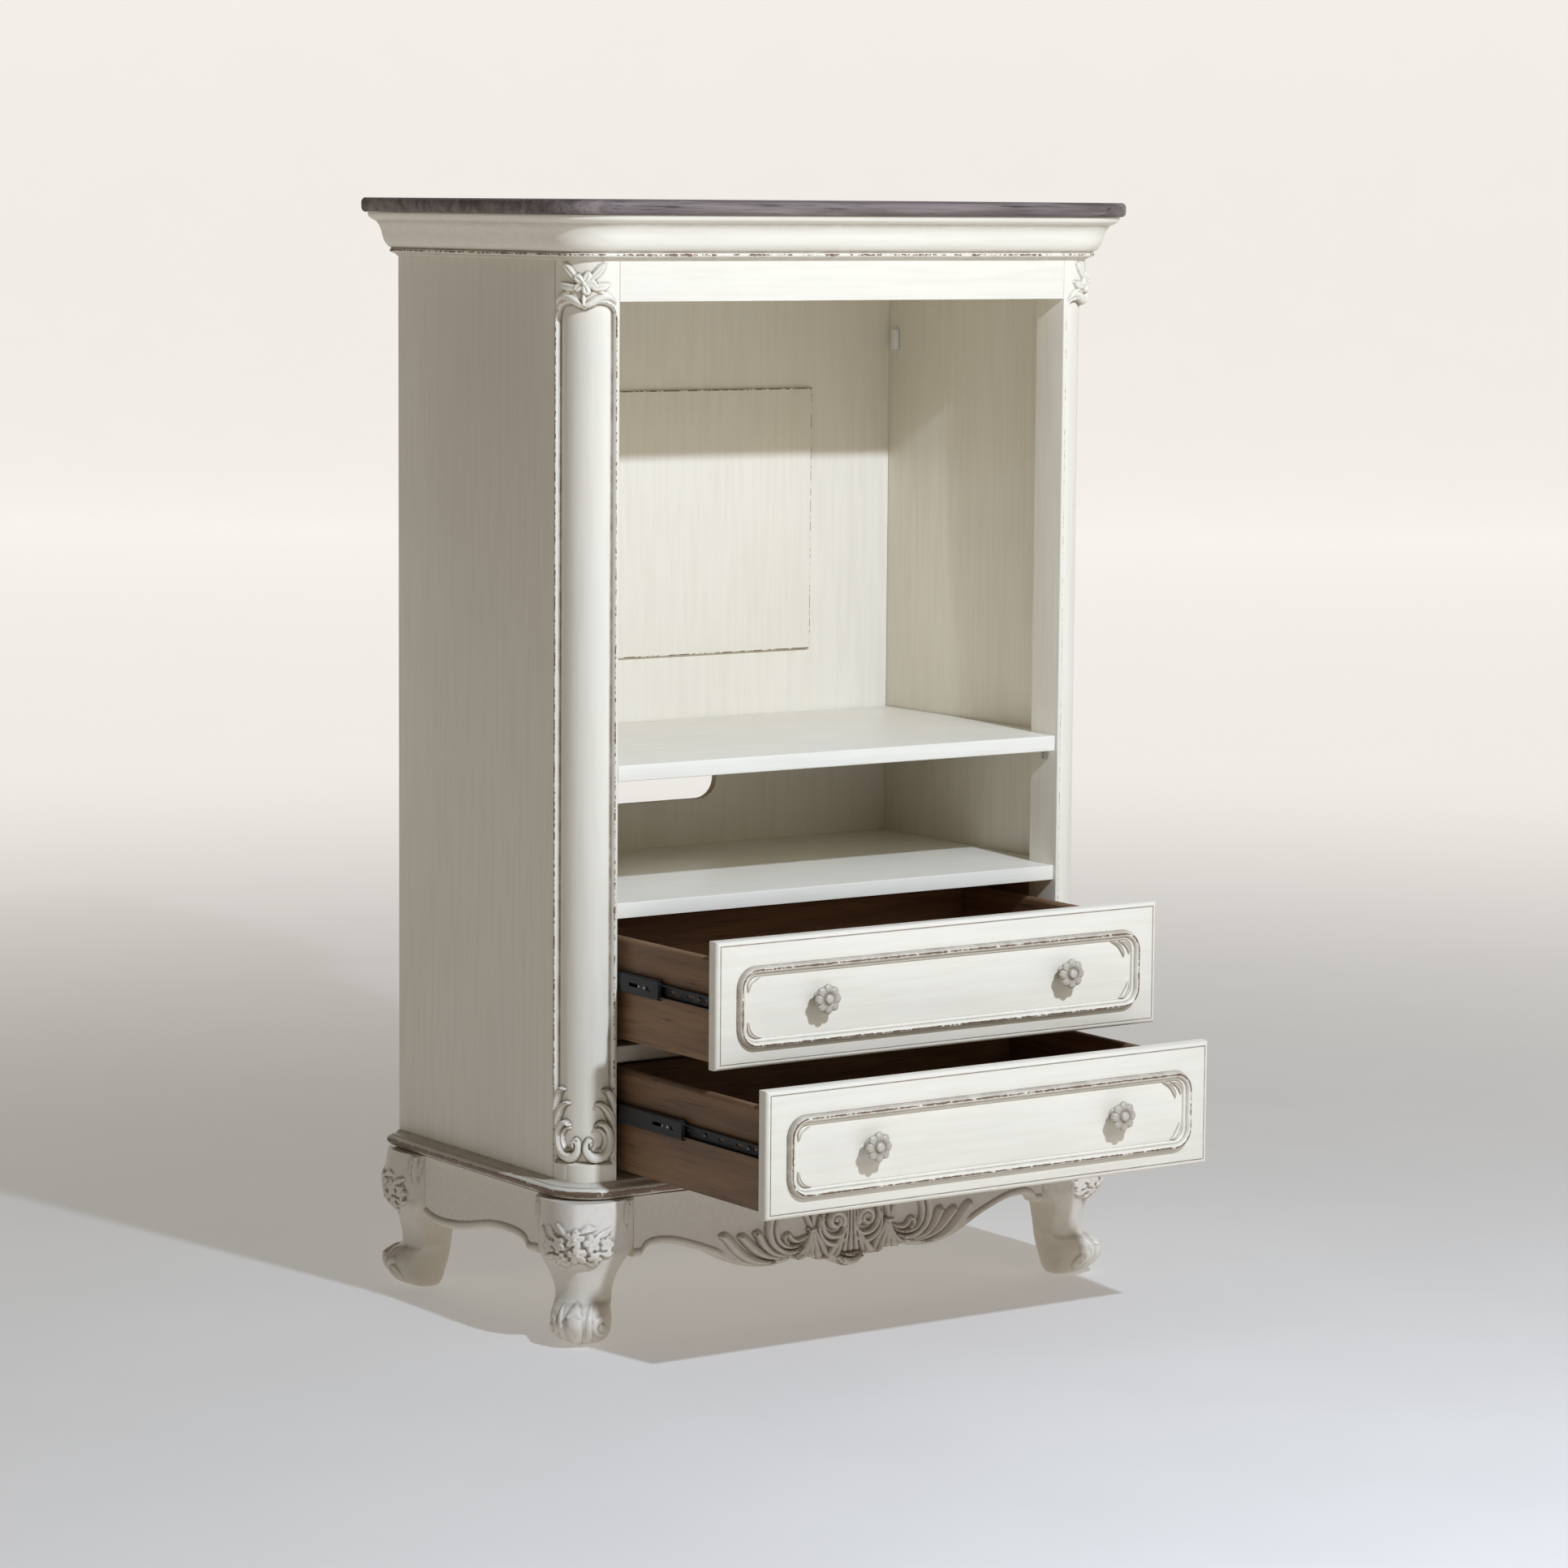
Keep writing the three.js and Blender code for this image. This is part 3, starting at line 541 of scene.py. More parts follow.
def carve_leg(a, z, knee):
    """The carving of a leg. knee is how far round from the leg's middle the bouquet sits."""
    relief = Relief(a - knee, z - 6, np.zeros_like(a))
    for at, level, radius, turn in ((1, 148, 11.5, 80), (25, 141, 11.5, 30), (-24, 139, 11.5, 120),
                                    (4, 125, 12, 95), (-46, 134, 10.5, 40), (48, 138, 10, 70),
                                    (-20, 118, 9.5, 10), (27, 121, 9, 50)):
        relief.flower(at, level, radius, 6, 0.4, 5, turn)
    for path in ([(-12, 152, 2), (-20, 159, 4.4), (-28, 167, 0.9)],
                 [(-31, 148, 2), (-40, 154, 4.2), (-47, 162, 0.9)],
                 [(8, 157, 2), (19, 161, 4.6), (32, 161, 0.9)],
                 [(34, 150, 2), (45, 153, 4.2), (56, 159, 0.9)],
                 [(36, 127, 2), (46, 124, 4.2), (57, 126, 0.9)],
                 [(-32, 123, 2), (-42, 119, 4), (-52, 120, 0.9)],
                 [(-53, 142, 2), (-59, 150, 3.8), (-62, 158, 0.9)],
                 [(14, 115, 2), (22, 111, 3.8), (30, 112, 0.9)],
                 [(-8, 115, 2), (-14, 110, 3.8), (-22, 109, 0.9)]):
        relief.stroke(path, 4.4, 0.2, 0.45, 0.4)
    relief.a, relief.b = a, z
    # a drop of three leaf ribs on each side of the knee, under the moulding
    relief.stroke([(91, 206, 3), (90, 190, 4.4), (91, 175, 5), (93, 160, 1.5)], 4.8, 0, 0.45, 0.3,
                  mirror=0)
    relief.stroke([(84, 206, 1.8), (82.5, 188, 2.6), (84, 168, 1)], 3.4, mirror=0)
    relief.stroke([(98, 206, 1.8), (98.5, 188, 2.6), (97, 170, 1)], 3.4, mirror=0)
    # foot: a roll between two side scrolls
    for side in (-1, 1):
        relief.spiral(side * 39, 27, 14, 4.5, side, 90, 5.5, 3.4, -0.5)
    relief.stroke([(20, 56, 2.5), (21, 40, 4.5), (19, 20, 4.5), (15, 6, 3)], 3, mirror=0)
    relief.stroke([(0, 4, 4), (0, 18, 9), (0, 34, 11), (0, 48, 9.5), (0, 58, 3)], 6, 0, 0.5)
    relief.stroke([(-8, 47, 2), (0, 51, 2.6), (8, 47, 2)], 3, 4.2)
    return relief


def add_leg(name, x, y, outward, knee=0):
    """A carved leg whose knee points outward, in degrees from the x axis."""
    table = smooth(LEG_LEVELS, 3)
    z = levels((0, 4, 1.3), (4, 70, 1.5), (70, 100, 3), (100, LEG_TOP, 1.35))
    outer, inner, half = (np.interp(z, table[:, 0], table[:, k]) for k in (1, 2, 3))
    carved_steps = 132
    turn = np.radians(np.concatenate([np.linspace(-100, 100, carved_steps),
                                      np.linspace(108, 252, 19)]))
    plan = np.array([leg_ring(*row, turn) for row in zip(z, outer, inner, half)])
    along, across = plan[:, 0], plan[:, 1]
    gaps = np.hypot(np.diff(along, axis=1), np.diff(across, axis=1))
    arc_length = np.concatenate([np.zeros((len(z), 1)), np.cumsum(gaps, axis=1)], axis=1)
    middle = carved_steps // 2
    arc_length -= (arc_length[:, middle - 1] + arc_length[:, middle])[:, None] / 2
    relief = carve_leg(arc_length, np.repeat(z[:, None], len(turn), axis=1), knee)
    fade = np.where(np.cos(turn) > -0.1, 1, 0)[None, :]
    height = relief.height * fade * step(LEG_TOP - z, 0, 2)[:, None]
    tangent_along = np.gradient(along, axis=1)
    tangent_across = np.gradient(across, axis=1)
    size = np.maximum(np.hypot(tangent_along, tangent_across), 1e-9)
    hollow, crest = shading(height, z, np.arange(len(turn)) * 1.4, 1.5)
    along = along + height * tangent_across / size
    across = across - height * tangent_along / size
    # a soft dark line over the roll of the foot
    hollow = np.clip(hollow + 0.35 * np.exp(-((z - 59) / 3.5) ** 2)[:, None] * fade, 0, 1)
    angle = math.radians(outward)
    rings = np.stack([x + along * math.cos(angle) - across * math.sin(angle),
                      y + along * math.sin(angle) + across * math.cos(angle),
                      np.repeat(z[:, None], len(turn), axis=1)], axis=2)
    # the carving stays within the plain leg's own space
    low, high = span(name)
    rings = np.clip(rings, np.array(low) - 1.5, np.array(high) + (1.5, 0, 0))
    add_piece(name + "_carved", skin(rings), PAINT_CARVED, stands_for=[name], angle=70,
              hollow=hollow.ravel(), crest=crest.ravel() * fade.repeat(len(z), axis=0).ravel())


# ---- aprons
FRONT_EDGE = [  # distance from the middle, and height of the lower edge
    (0, 65.4), (10, 67.5), (17, 72), (24, 77.5), (37, 79), (47, 79.5), (57, 82), (67, 86.5),
    (77, 84.5), (87, 84.5), (95, 86.5), (107, 82.5), (128, 80.5), (147, 81), (166, 83.5),
    (185, 88), (204, 95), (219, 104), (242, 113.5), (272, 123.8), (290, 128.5), (309, 130.3),
    (322, 129.5), (331, 126), (336, 121), (338, 116.5), (351, 116.5),
]


def edge_bead(below, width=11):
    """A moulded bead along an apron's lower edge, from the height above that edge."""
    bead = 3.2 * np.sqrt(np.clip(1 - ((below - width * 0.48) / (width * 0.5)) ** 2, 0, 1))
    return bead - 1.4 * np.exp(-((below - width - 0.8) / 1.3) ** 2)


def carve_front_apron(x, z, low):
    """The acanthus leaves and cartouche, the same on both sides of x = 0."""
    a = np.abs(x)
    relief = Relief(a, z, edge_bead(z - low) * step(a, 206, 218))
    stroke = relief.stroke
    # three lobes that overlap towards the middle
    stroke([(214, 132, 3.2), (208, 131, 6.2), (199, 122, 7), (187, 109, 6.6), (171, 97.5, 5.6),
            (150, 90, 4.2), (128, 87, 2)], 8, -0.5, tilt=0.35)
    stroke([(185, 128.5, 3), (180, 127, 5.8), (171, 118.5, 6.6), (159, 107.5, 6.2), (145, 99, 5.2),
            (127, 93.5, 3.8), (108, 91.5, 1.8)], 8.6, 0, tilt=0.35)
    stroke([(160, 130.5, 3), (155, 129, 5.4), (150, 120, 6), (141, 108, 5.4), (129, 99.5, 4.4),
            (113, 95.5, 2.8), (100, 95.5, 1.4)], 9, 0.5, tilt=0.35)
    # two nested scrolls that open inwards
    stroke([(104, 176, 1.5), (116, 174, 4), (128, 164, 5.6), (135, 148, 5.8), (137, 131, 5.6),
            (133, 116, 5.2), (123, 105, 4.8), (110, 98.5, 4.2), (96, 97.5, 3.2), (84, 101, 1.6)],
           9, 0.5, vein=0.1)
    stroke([(104, 164, 2), (114, 160, 3.6), (122, 149, 4.2), (125.5, 134, 4.2), (123, 119, 4),
            (114, 109, 3.6), (101, 105, 3), (88, 106.5, 2.2), (78, 112, 1.2)], 8, 0)
    stroke([(72, 118, 1.2), (82, 114, 3), (91, 112.5, 3.6), (99, 116, 3.4), (104, 122.5, 3.2),
            (110, 121.5, 3), (111, 114.5, 2.8), (106, 110, 2.2)], 7, 0)
    stroke([(96, 176, 1), (88, 168, 3), (78, 152, 3.6), (70, 136, 3.2), (66, 126, 2)], 7.5)
    # fan of leaves at the tie, and one above it
    for path in ([(66, 128, 1.4), (71, 110, 3.8), (81, 97, 4.2), (95, 90, 1)],
                 [(66, 127, 1.4), (69, 107, 4), (77, 92, 4), (84, 84, 1.4)],
                 [(65, 126, 1.4), (65, 106, 3.8), (66, 93, 3.6), (67, 84, 1.6)],
                 [(64, 127, 1.4), (60, 108, 4), (55, 93, 4), (50, 80, 1.6)],
                 [(63, 129, 1.4), (55, 113, 3.8), (46, 98, 4.4), (38, 84, 1.8)],
                 [(65, 126, 2.2), (64, 142, 4), (60, 160, 3.6), (56, 174, 1)]):
        stroke(path, 8, 0, vein=0.25)
    stroke([(61, 127.5, 2), (66, 126, 3), (71, 127.5, 2)], 4, 7)
    # rose rolls with cupped petals under them, and ribs between
    stroke([(45, 150, 1.5), (49, 136, 3.8), (45, 121, 4.2), (34, 112.5, 4.2), (20, 112, 3.8),
            (9, 120, 3), (5, 132, 1.5)], 7.5, 1, tilt=-0.2)
    stroke([(52, 142, 1), (53, 122, 3), (44, 107, 3.8), (30, 100.5, 4), (15, 103, 3.2),
            (5, 113, 1.6)], 6.5, 1, tilt=-0.2)
    relief.spiral(26, 134.5, 14.5, 3, -1.5, 200, 5.6, 8.5, 3)
    stroke([(40, 150, 1.4), (30, 154, 3.6), (18, 150, 3.4), (11, 140, 1.6)], 6.5, 2)
    for path in ([(0, 182, 2), (0, 150, 2.6), (0, 120, 3), (0, 92, 4)],
                 [(4.5, 180, 1.6), (5.5, 150, 2.2), (6, 122, 2.8), (10, 92, 4)],
                 [(9, 178, 1), (10, 152, 1.8), (10.5, 126, 2.2), (19, 95, 4), (24, 84, 2)],
                 [(14, 118, 1.2), (22, 103, 4), (33, 90, 5), (44, 82, 1.6)]):
        stroke(path, 7, 1, vein=0.15)
    # lip of the cartouche
    stroke([(-17, 80.5, 3.2), (-9, 76, 5.4), (0, 73.5, 6.2), (9, 76, 5.4), (17, 80.5, 3.2)], 9.5, 2)
    stroke([(-14, 86, 1.5), (0, 83.5, 2.6), (14, 86, 1.5)], 5, 6)
    # upper scroll leaves, mostly behind the lower drawer when it is open
    stroke([(150, 186, 1.2), (140, 178, 3.8), (128, 180, 4.2), (118, 188, 1.6)], 6.5)
    stroke([(40, 184, 1.2), (34, 172, 4), (24, 164, 4.4), (13, 162, 1.6)], 7)
    stroke([(60, 190, 1.2), (50, 178, 3.8), (36, 164, 4.2), (22, 156, 1.6)], 6)
    return relief.height


def add_apron(name, suffix, along, z, height, face, back, place, gain, paint, angle):
    """A board whose relief stands on its face. place turns along, out and z into x, y and z."""
    hollow, crest = shading(height, along, np.mean(z, axis=0), gain)
    rings = []
    for at, out, rise in zip(along, face + height, z):
        out = np.append(out, [back, back])
        rise = np.append(rise, rise[[-1, 0]])
        rings.append(np.column_stack(place(np.full(len(out), at), out, rise)))
    extend = ((0, 0), (0, 2))
    add_piece(name + suffix, skin(rings), paint, stands_for=[name], angle=angle,
              hollow=np.pad(hollow, extend).ravel(), crest=np.pad(crest, extend).ravel())


def add_front_apron():
    half, back, top = span("front_apron")[1]
    edge = np.array(FRONT_EDGE)
    x_side = levels((0, 222, 1), (222, 330, 3.5), (330, half, 1.2))
    x = np.concatenate([-x_side[:0:-1], x_side])
    low = np.interp(np.abs(x), edge[:, 0], edge[:, 1])[:, None]
    rows = np.concatenate([np.linspace(0, 0.82, 92, endpoint=False), np.linspace(0.82, 1, 8)])
    z = low + rows * (top - low)
    height = carve_front_apron(np.repeat(x[:, None], len(rows), axis=1), z, low)
    height = height * step(top - z, 0, 14) - 5 * (1 - step(z - low, -0.5, 5))
    end_stand, bow_rise, bow_length = 8, 13, 220
    bow = end_stand + bow_rise * step(half - np.abs(x), 0, bow_length)
    add_apron("front_apron", "_carved", x, z, height, bow[:, None], -back,
              lambda along, out, rise: (along, -out, rise), 0.8, PAINT_CARVED, 70)


SIDE_EDGE = [  # depth, and height of the lower edge
    (86, 116), (94, 116), (111, 115), (118, 123), (131, 127.5), (150, 129.8), (185, 130),
    (216, 127), (242, 121.7), (268, 116), (294, 111.4), (322, 108.4), (350, 107.3), (372, 109),
    (392, 115),
]


def add_side_apron(name):
    low_corner, high_corner = span(name)
    side = 1 if low_corner.x > 0 else -1
    inner, face = sorted((abs(low_corner.x), abs(high_corner.x)))
    edge = smooth(SIDE_EDGE, 4)
    y = levels((low_corner.y, 132, 1.2), (132, 370, 3.5), (370, high_corner.y, 2))
    low = np.interp(y, edge[:, 0], edge[:, 1])[:, None]
    rows = np.concatenate([np.linspace(0, 0.28, 24, endpoint=False), np.linspace(0.28, 1, 10)])
    z = low + rows * (high_corner.z - low)
    height = edge_bead(z - low, 12) - 3.5 * (1 - step(z - low, -0.5, 4))
    add_apron(name, "_moulded", y, z, height, face, inner,
              lambda along, out, rise: (side * out, along, rise), 0.6, PAINT_LEVEL, 60)


# ---- top, cornice, base
def add_top_slab():
    low, high = span("top_slab")
    radius, edge = 110, 6.5
    inset = high.x - radius
    y_front = low.y + radius
    path = np.vstack([
        [high.x, high.y - 3, 1, 0], [high.x, y_front + 200, 1, 0],
        arc(inset, y_front, radius, 0, -90, 36), [0, low.y, 0, -1],
        arc(-inset, y_front, radius, -90, -180, 36),
        [-high.x, y_front + 200, -1, 0], [-high.x, high.y - 3, -1, 0],
        arc(-high.x + 3, high.y - 3, 3, 180, 90, 6)[1:], arc(high.x - 3, high.y - 3, 3, 90, 0, 6)[:-1]])
    turns = np.radians(np.linspace(-90, 90, 13))
    z_low, z_high = low.z + edge, high.z - edge
    section = [(-edge + edge * math.cos(t), (z_low if t < 0 else z_high) + edge * math.sin(t))
               for t in turns]
    rings = [[(x + nx * out, y + ny * out, z) for x, y, nx, ny in path] for out, z in section]
    add_piece("top_slab_walnut", skin(rings), WALNUT, slot="walnut_top", stands_for=["top_slab"],
              angle=45)


# rows are out, height from the top, hollow and crest
# in the cornice, hollow is painted shade on the fillet under the slab, in the cove under the nose and
# in the cove under the bead, and it also darkens the quirk
CORNICE_ROWS = [  # fillet, nose, cove, long ogee, quirk, bead and cove
    (48.7, 0, 0.2, 0), (48.7, -2.6, 0.1, 0), (48.2, -3.4, 0, 0), (46.6, -6.4, 0, 0),
    (41.6, -9.6, 0.1, 0), (37, -11.6, 0.35, 0), (34, -13.8, 0.3, 0), (30.2, -18.8, 0.05, 0),
    (27, -25.6, 0, 0), (24.9, -33, 0, 0), (21.8, -40.4, 0, 0), (17.2, -45.8, 0.05, 0),
    (13.2, -48.3, 0.5, 0), (11, -49.2, 1, 0), (11.2, -50, 0.7, 0), (12.9, -51.2, 0.1, 0.75),
    (13.4, -53, 0, 1), (12.4, -55, 0.15, 0.6), (9.6, -56, 0.5, 0), (6.6, -56.8, 0.5, 0),
    (3.6, -58.6, 0.4, 0), (1.6, -60.2, 0.3, 0), (0.3, -60.9, 0.6, 0),
]
BASE_ROWS = [  # cove, nose with rubbed dashes and painted shade on its underside, and lip
    (1.2, 0, 0.7, 0), (2.4, -1.6, 0.5, 0), (4.6, -3.2, 0.35, 0), (8.4, -4.6, 0.25, 0),
    (12.6, -5.2, 0.45, 0), (13.4, -6, 0.8, 0), (16.2, -6.6, 0.15, 0), (18.8, -8.2, 0.1, 0.3),
    (20, -10.4, 0.45, 1.1), (20, -12.8, 0.8, 1.3), (18.8, -15.4, 0.9, 1.2), (16.8, -17.4, 1, 1),
    (14.4, -18.8, 0.9, 0.9), (13.6, -19.4, 0.4, 0), (12.8, -20.4, 0.05, 0), (10.4, -21.6, 0.3, 0),
    (7.4, -22.2, 0.5, 0), (6, -23.4, 0.4, 0),
]


def add_case_moulding(name, node, rows, sharp, closing, stands_for):
    """A moulding from the right side round the front; closing rows lead back to the case."""
    section = np.vstack([rounded(rows, sharp, 3), closing])
    path = np.vstack([[BODY_HALF, BODY_BACK, 1, 0],
                      arc(CORNER_INSET, CORNER_RADIUS, CORNER_RADIUS, 0, -90, 22),
                      arc(-CORNER_INSET, CORNER_RADIUS, CORNER_RADIUS, -90, -180, 22),
                      [-BODY_HALF, BODY_BACK, -1, 0]])
    top = span(node)[1].z
    rings = [[(x + nx * out, y + ny * out, top + drop) for out, drop, *_ in section]
             for x, y, nx, ny in path]
    hollow, crest = np.tile(np.clip(section[:, 2:], 0, 1.25), (len(path), 1)).T
    add_piece(name, skin(rings), PAINT_LEVEL, hollow=hollow, crest=crest, stands_for=stands_for)


# ---- back and boards
def stadium(cx, cz, reach, radius, steps=14):
    """A long hole with round ends, whose centres lie reach to each side of its middle."""
    right = np.radians(np.linspace(-90, 90, steps))
    left = np.radians(np.linspace(90, 270, steps))
    return ([(cx + reach + radius * math.cos(t), cz + radius * math.sin(t)) for t in right]
            + [(cx - reach + radius * math.cos(t), cz + radius * math.sin(t)) for t in left])


def add_back_panel():
    low, high = span("back_panel")
    outline = [(low.x, low.z), (high.x, low.z), (high.x, high.z), (low.x, high.z)]
    slot_height, slot_reach, slot_radius = 701, 68, 30
    points, faces = plate(outline, [stadium(0, slot_height, slot_reach, slot_radius)],
                          high.y - low.y)
    points = [(x, y + low.y, z) for x, y, z in points]
    piece = add_piece("back_panel_board", (points, faces), [PAINT_UPRIGHT, RAW_EDGE],
                      stands_for=["back_panel"], angle=30)
    # the slot's sawn walls are bare
    around = (slot_reach + slot_radius + 2) * MM
    for polygon in piece.data.polygons:
        x, _, z = polygon.center
        if max(abs(x), abs(z - slot_height * MM)) < around and abs(polygon.normal.y) < 0.5:
            polygon.material_index = 1


# ---- drawers
def add_drawer_front(drawer):
    low, high = span(drawer + "_front")
    thick = high.y - low.y
    rows = [  # depth from the face, inset, hollow, crest
        (thick, 0.6, 0, 0), (thick - 0.6, 0, 0, 0), (6.2, 0, 0, 0), (4.4, 0.25, 0, 0.35),
        (2.9, 0.8, 0, 0.15), (1.7, 1.7, 0, 0), (0.8, 2.9, 0, 0), (0.2, 4.2, 0, 0), (0, 5.6, 0, 0),
        (0.15, 6, 0.4, 0), (1.2, 6.3, 0.75, 0), (1.3, 7.2, 0.75, 0), (0.2, 7.6, 0.35, 0),
        (0, 8.2, 0, 0)]
    rings, hollow, crest = [], [], []
    for depth, inset, dark, rub in rows:
        x0, x1 = low.x + inset, high.x - inset
        z0, z1 = low.z + inset, high.z - inset
        xs = np.linspace(x0, x1, 9)
        zs = np.linspace(z0, z1, 4)
        ring = ([(x, z0) for x in xs[:-1]] + [(x1, z) for z in zs[:-1]]
                + [(x, z1) for x in xs[:0:-1]] + [(x0, z) for z in zs[:0:-1]])
        rings.append([(x, low.y + depth, z) for x, z in ring])
        hollow += [dark] * len(ring)
        crest += [rub] * len(ring)
    add_piece(drawer + "_front_panel", skin(rings), PAINT_LEVEL, body=drawer,
              stands_for=[drawer + "_front"], angle=32, hollow=hollow, crest=crest)


def leaf_mesh(spine, widths, tall, face, lift):
    """A veined leaf on the plane y = face, and its hollow values. spine is x and z."""
    line = smooth([(x, z, w) for (x, z), w in zip(spine, widths)], 7)
    across = np.array([-1, -0.86, -0.6, -0.3, -0.08, 0.08, 0.3, 0.6, 0.86, 1])
    crown = np.array([0, 0.5, 0.9, 1, 0.62, 0.62, 1, 0.9, 0.5, 0])
    tangents = np.gradient(line[:, :2], axis=0)
    tangents /= np.maximum(np.hypot(tangents[:, 0], tangents[:, 1]), 1e-9)[:, None]
    rings = []
    for (x, z, w), (tx, tz) in zip(line, tangents):
        w = max(w, 0.25)
        rise = tall * min(1, w / (max(widths) * 0.6)) ** 0.7
        top = [(x - tz * w * c, face - lift - rise * k, z + tx * w * c) for c, k in zip(across, crown)]
        under = [(x - tz * w * c, face, z + tx * w * c) for c in (0.97, -0.97)]
        rings.append(top + under)
    return skin(rings), [0.9, 0.35, 0, 0, 0.9, 0.9, 0, 0, 0.35, 0.9, 0, 0] * len(rings)


def add_drawer_moulding(drawer):
    low, high = span(drawer + "_front_moulding")
    face = span(drawer + "_front")[0].y - 0.2
    cz = (low.z + high.z) / 2
    half_x, half_z, radius = high.x, (high.z - low.z) / 2, 30
    rows = [  # inset, height, hollow, crest
        (0, 0, 1, 0), (0.5, 1.6, 0.85, 0), (1.1, 3.6, 0.7, 0), (2, 5.8, 0.6, 0),
        (3.1, 7.4, 0.45, 0.5), (4.4, 8.4, 0.1, 1.1), (5.8, 8.6, 0, 1.1), (7.2, 8.1, 0.05, 0.55),
        (8.5, 6.7, 0.1, 0), (9.4, 4.9, 0.25, 0), (10, 3.5, 0.8, 0), (10.6, 3.1, 0.5, 0),
        (12, 2.9, 0, 0), (13.2, 2.2, 0, 0.1), (13.9, 1.2, 0.2, 0), (14.4, 0, 0.7, 0)]
    line = rounded(rows, (10,), 2)
    inner_x, inner_z = half_x - radius, half_z - radius
    path = np.vstack([arc(side * inner_x, up * inner_z, radius, start, start - 90, 16)
                      for side, up, start in ((1, 1, 90), (1, -1, 0), (-1, -1, -90), (-1, 1, 180))])
    rings = [[(x - nx * inset, face - height, cz + z - nz * inset) for inset, height, *_ in line]
             for x, z, nx, nz in path]
    shape = [skin(rings, loop=True)]
    hollow, crest = (list(np.tile(np.clip(column, 0, 1.25), len(path))) for column in line.T[2:])
    # curled leaves inside the corners
    corner_x, corner_z = half_x - 13, half_z - 13
    blades = (  # which side, up or down, spine and half widths
        ((-1, 1), 1, [(-24, -2), (-14, -5), (-7, -12), (-5, -22)], [0.6, 3, 3.4, 0.4]),
        ((1,), 1, [(-38, -1), (-26, -6), (-18, -15), (-14, -26)], [0.6, 2.2, 2.8, 0.4]),
        ((-1,), -1, [(-26, -2), (-15, -5), (-7, -13), (-5, -24)], [0.5, 2.6, 3.2, 0.4]),
        ((1,), -1, [(-22, -3), (-14, -6), (-8, -14), (-6, -25)], [0.5, 4, 4.6, 0.5]))
    for sides, up, spine, widths in blades:
        for side in sides:
            placed = [(side * (corner_x + x), cz + up * (corner_z + z)) for x, z in spine]
            leaf, dark = leaf_mesh(placed, widths, 3.6, face, 0.6)
            shape.append(leaf)
            hollow += dark
            crest += [0] * len(dark)
    add_piece(drawer + "_front_moulding_carved", joined(*shape), PAINT_MOULDED, body=drawer,
              stands_for=[drawer + "_front_moulding"], angle=45, hollow=hollow, crest=crest)


def add_knob(drawer, hand):
    node = f"{drawer}_{hand}_knob"
    low, high = span(node)
    cx, cz, base = (low.x + high.x) / 2, (low.z + high.z) / 2, high.y
    petals, count = 8, 8 * 16
    turn = np.arange(count) * 2 * math.pi / count
    lobes = np.cos(petals * turn)
    valley = np.clip(-lobes, 0, 1) ** 6
    ribs = np.cos(3 * petals * turn) * np.clip(1 - valley * 1.2, 0, 1)
    groove = np.clip(-ribs, 0, 1)
    # out, radius, petal depth, rib depth, hollow
    rows = smooth([
        (0, 9.5, 0, 0, 0.8), (1, 10, 0, 0, 0.3), (2.2, 9, 0, 0, 0.3), (4, 6.6, 0, 0, 0.6),
        (7, 6.1, 0, 0, 0.6), (10, 6.8, 0, 0, 0.6), (13.2, 10.5, 0.02, 0, 0.5),
        (15.6, 16.6, 0.03, 0.3, 0.4), (17.8, 19.2, 0.05, 0.7, 0.15), (20.4, 19.9, 0.055, 1, 0),
        (22.8, 18.4, 0.055, 1.2, 0), (24.2, 15.2, 0.045, 1.2, 0.05), (24.4, 11.8, 0.03, 0.9, 0.3),
        (23.4, 8.9, 0.015, 0.3, 0.9), (22.8, 7.7, 0, 0, 1), (23.6, 6.9, 0, 0, 0.7),
        (25.4, 6, 0, 0, 0.1), (26.6, 4.1, 0, 0, 0), (27.1, 1.6, 0, 0, 0)], 3)
    rings, hollow, crest = [], [], []
    for out, radius, depth, rib, dark in rows:
        r = radius * (1 + depth * lobes) - 0.35 * rib * groove - 0.9 * rib * valley
        y = base - out + 0.5 * rib * valley
        rings.append(np.column_stack([cx + r * np.cos(turn), y, cz + r * np.sin(turn)]))
        hollow.append(np.clip(dark + 0.8 * valley * min(1, rib) + 0.35 * groove * min(1, rib), 0, 1))
        crest.append(np.clip(ribs * rib * 0.3, 0, 1))
    add_piece(node + "_flower", skin(rings), KNOB_PAINT, body=drawer, slot="knob_paint",
              stands_for=[node], angle=60, hollow=np.concatenate(hollow), crest=np.concatenate(crest))


def add_drawer(drawer):
    add_drawer_front(drawer)
    add_drawer_moulding(drawer)
    for hand in SIDES:
        add_knob(drawer, hand)
        rounded_copy(f"{drawer}_{hand}_side", DRAWER_WOOD, 0.5, 0.5, drawer)
    rounded_copy(drawer + "_back", DRAWER_CROSS_WOOD, 0.8, 0.5, drawer)
    rounded_copy(drawer + "_bottom", DRAWER_CROSS_WOOD, 0.4, 0, drawer)


